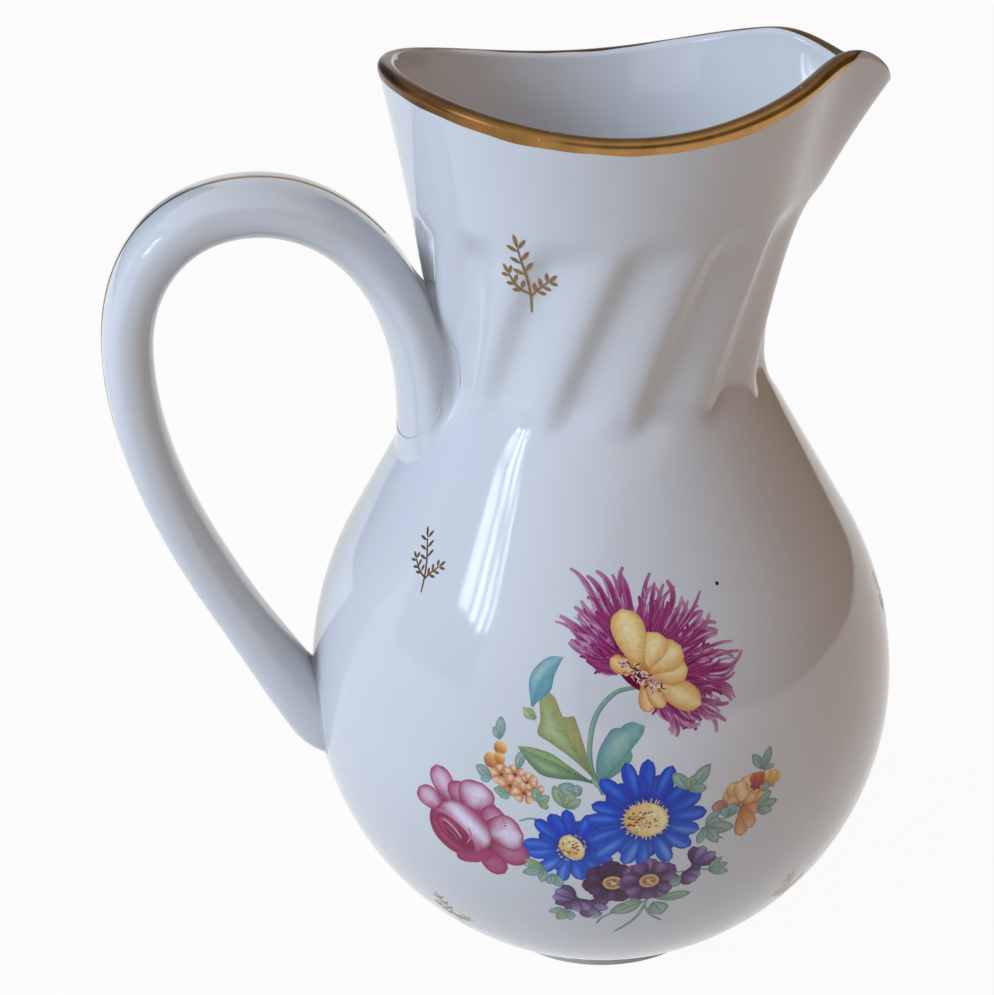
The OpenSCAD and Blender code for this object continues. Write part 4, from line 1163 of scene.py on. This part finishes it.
# Studio: pale floor, white background, a cool window on the left and a warm, dim room on the right
studio = {
    "eye": (-0.0954, -0.4908, 0.2955), "yaw": 0.040626, "pitch": 0.38188, "roll": -0.0191505,
    "turn": -11.0, "lens": 97.99, "sensor": 36,
    "worldLevel": 0.2, "worldTint": "#f4e2ce", "paper": "#e2dfdc", "floorShare": 0.95, "floorZ": -0.0002,
    "front": -101.0, "aim": Vector((0, 0, 0.09)),
    # degrees to the right and up from the front, distance, breadth, height, watts, colour and if it is mirrored
    "lamps": {
        "sky window": (-54, 32, 1.5, 1.1, 1.3, 20.4, "#c8e0fc", False),
        "window pane 1": (-63, 27, 1.6, 0.14, 0.16, 0.7, "#e9f2ff", True),
        "window pane 2": (-63, 33.5, 1.6, 0.14, 0.14, 0.6, "#e9f2ff", True),
        "window pane 3": (-57, 26, 1.6, 0.07, 0.2, 0.6, "#e9f2ff", True),
        "window pane 4": (-57, 33, 1.6, 0.07, 0.16, 0.5, "#e9f2ff", True),
        "window pane 5": (-52.5, 25, 1.6, 0.05, 0.26, 0.6, "#e9f2ff", True),
        "window pane 6": (-52.5, 33.5, 1.6, 0.05, 0.14, 0.35, "#e9f2ff", True),
        "window pane 7": (-49, 27, 1.6, 0.025, 0.3, 0.4, "#e9f2ff", True),
        "warm fill": (74, 26, 1.8, 1.2, 1.2, 4.3, "#ffc690", False),
    },
    # degrees to the right and up from the front, distance, breadth, height and colour
    "cards": {
        "left card": (-70, 24, 2.0, 1.5, 1.5, "#c3cddd"), "right card": (72, 12, 1.1, 1.3, 1.2, "#8a7462"),
        "far right card": (130, 10, 1.0, 1.3, 1.1, "#6f5c4b"), "far left card": (-132, 6, 2.4, 2.6, 2.6, "#9fb0c8"),
        "near card": (16, 10, 2.4, 2.2, 2.4, "#aca8a6"),
    },
}


def seenShare(tree):  # 1 for the camera, mirrors and glass, 0 for the light that falls on the jug
    rays = addNode(tree, "ShaderNodeLightPath").outputs
    seen = addNode(tree, "ShaderNodeMath", {"operation": "MAXIMUM"},
                   {0: rays["Is Camera Ray"], 1: rays["Is Glossy Ray"]})
    return addNode(tree, "ShaderNodeMath", {"operation": "MAXIMUM"},
                   {0: seen.outputs[0], 1: rays["Is Transmission Ray"]}).outputs[0]


def makeFloor():
    material, tree = newMaterial("pale paper floor")
    share = addNode(tree, "ShaderNodeMath", {"operation": "MULTIPLY"}, {0: seenShare(tree), 1: studio["floorShare"]})
    paper = addNode(tree, "ShaderNodeBsdfDiffuse", None, {"Color": hexColour(studio["paper"])})
    white = addNode(tree, "ShaderNodeEmission", None, {"Color": (1, 1, 1, 1), "Strength": 1.0})
    both = addNode(tree, "ShaderNodeMixShader", None, {0: share.outputs[0], 1: paper.outputs[0], 2: white.outputs[0]})
    addNode(tree, "ShaderNodeOutputMaterial", None, {"Surface": both.outputs[0]})
    bm = bmesh.new()
    bmesh.ops.create_grid(bm, x_segments=2, y_segments=2, size=6)
    bmesh.ops.translate(bm, verts=bm.verts[:], vec=(0, 0, studio["floorZ"]))
    floor = linkMesh(bm, "floor", material)


def makeWorld():
    world = bpy.data.worlds.new("studio")
    scene.world = world
    world.use_nodes = True
    tree = world.node_tree
    tree.nodes.clear()
    dim = addNode(tree, "ShaderNodeBackground", None,
                  {"Color": hexColour(studio["worldTint"]), "Strength": studio["worldLevel"]})
    white = addNode(tree, "ShaderNodeBackground", None, {"Color": (1, 1, 1, 1), "Strength": 1.0})
    both = addNode(tree, "ShaderNodeMixShader", None, {0: seenShare(tree), 1: dim.outputs[0], 2: white.outputs[0]})
    addNode(tree, "ShaderNodeOutputWorld", None, {"Surface": both.outputs[0]})


def studioPlace(az, el, distance):  # place seen from the jug
    a = studio["front"] + az
    return studio["aim"] + distance * Vector((cosd(a) * cosd(el), sind(a) * cosd(el), sind(el)))


def addLamp(name, az, el, distance, wide, tall, power, code, mirrored):
    lamp = bpy.data.lights.new(name, "AREA")
    lamp.shape = "RECTANGLE"
    lamp.size, lamp.size_y, lamp.energy = wide, tall, power
    lamp.color = hexColour(code)[:3]
    made = bpy.data.objects.new(name, lamp)
    scene.collection.objects.link(made)
    made.location = studioPlace(az, el, distance)
    made.visible_glossy = mirrored
    made.rotation_euler = (studio["aim"] - made.location).to_track_quat("-Z", "Y").to_euler()


def addCard(name, az, el, distance, wide, tall, code):  # plain standing card that only mirrors show
    material, tree = newMaterial(name)
    paper = addNode(tree, "ShaderNodeBsdfDiffuse", None, {"Color": hexColour(code)})
    addNode(tree, "ShaderNodeOutputMaterial", None, {"Surface": paper.outputs[0]})
    bm = bmesh.new()
    bmesh.ops.create_grid(bm, x_segments=1, y_segments=1, size=0.5)
    place = studioPlace(az, el, distance)
    turn = (studio["aim"] - place).to_track_quat("Z", "Y").to_matrix().to_4x4()
    stand = Matrix.Translation(place) @ turn @ Matrix.Diagonal((wide, tall, 1, 1))
    bmesh.ops.transform(bm, matrix=stand, verts=bm.verts[:])
    card = linkMesh(bm, name, material)
    card.visible_camera = False
    card.visible_shadow = False
    card.visible_diffuse = False


def makeCamera():
    yaw, pitch, roll = studio["yaw"], studio["pitch"], studio["roll"]
    ahead = Vector((-math.sin(yaw) * math.cos(pitch), math.cos(yaw) * math.cos(pitch), -math.sin(pitch)))
    right = Vector((math.cos(yaw), math.sin(yaw), 0))
    up = right.cross(ahead)
    side = math.cos(roll) * right + math.sin(roll) * up
    top = -math.sin(roll) * right + math.cos(roll) * up
    basis = Matrix((side, top, -ahead)).transposed()
    basis = Matrix.Rotation(math.radians(studio["turn"]), 3, "Z") @ basis
    lens = bpy.data.cameras.new("camera")
    lens.lens, lens.sensor_width = studio["lens"], studio["sensor"]
    lens.clip_start, lens.clip_end = 0.01, 50
    camera = bpy.data.objects.new("camera", lens)
    scene.collection.objects.link(camera)
    camera.matrix_world = Matrix.Translation(studio["eye"]) @ basis.to_4x4()
    scene.camera = camera


makeFloor()
makeWorld()
makeCamera()
for name, setting in studio["lamps"].items():
    addLamp(name, *setting)
for name, setting in studio["cards"].items():
    addCard(name, *setting)
print("studio set")
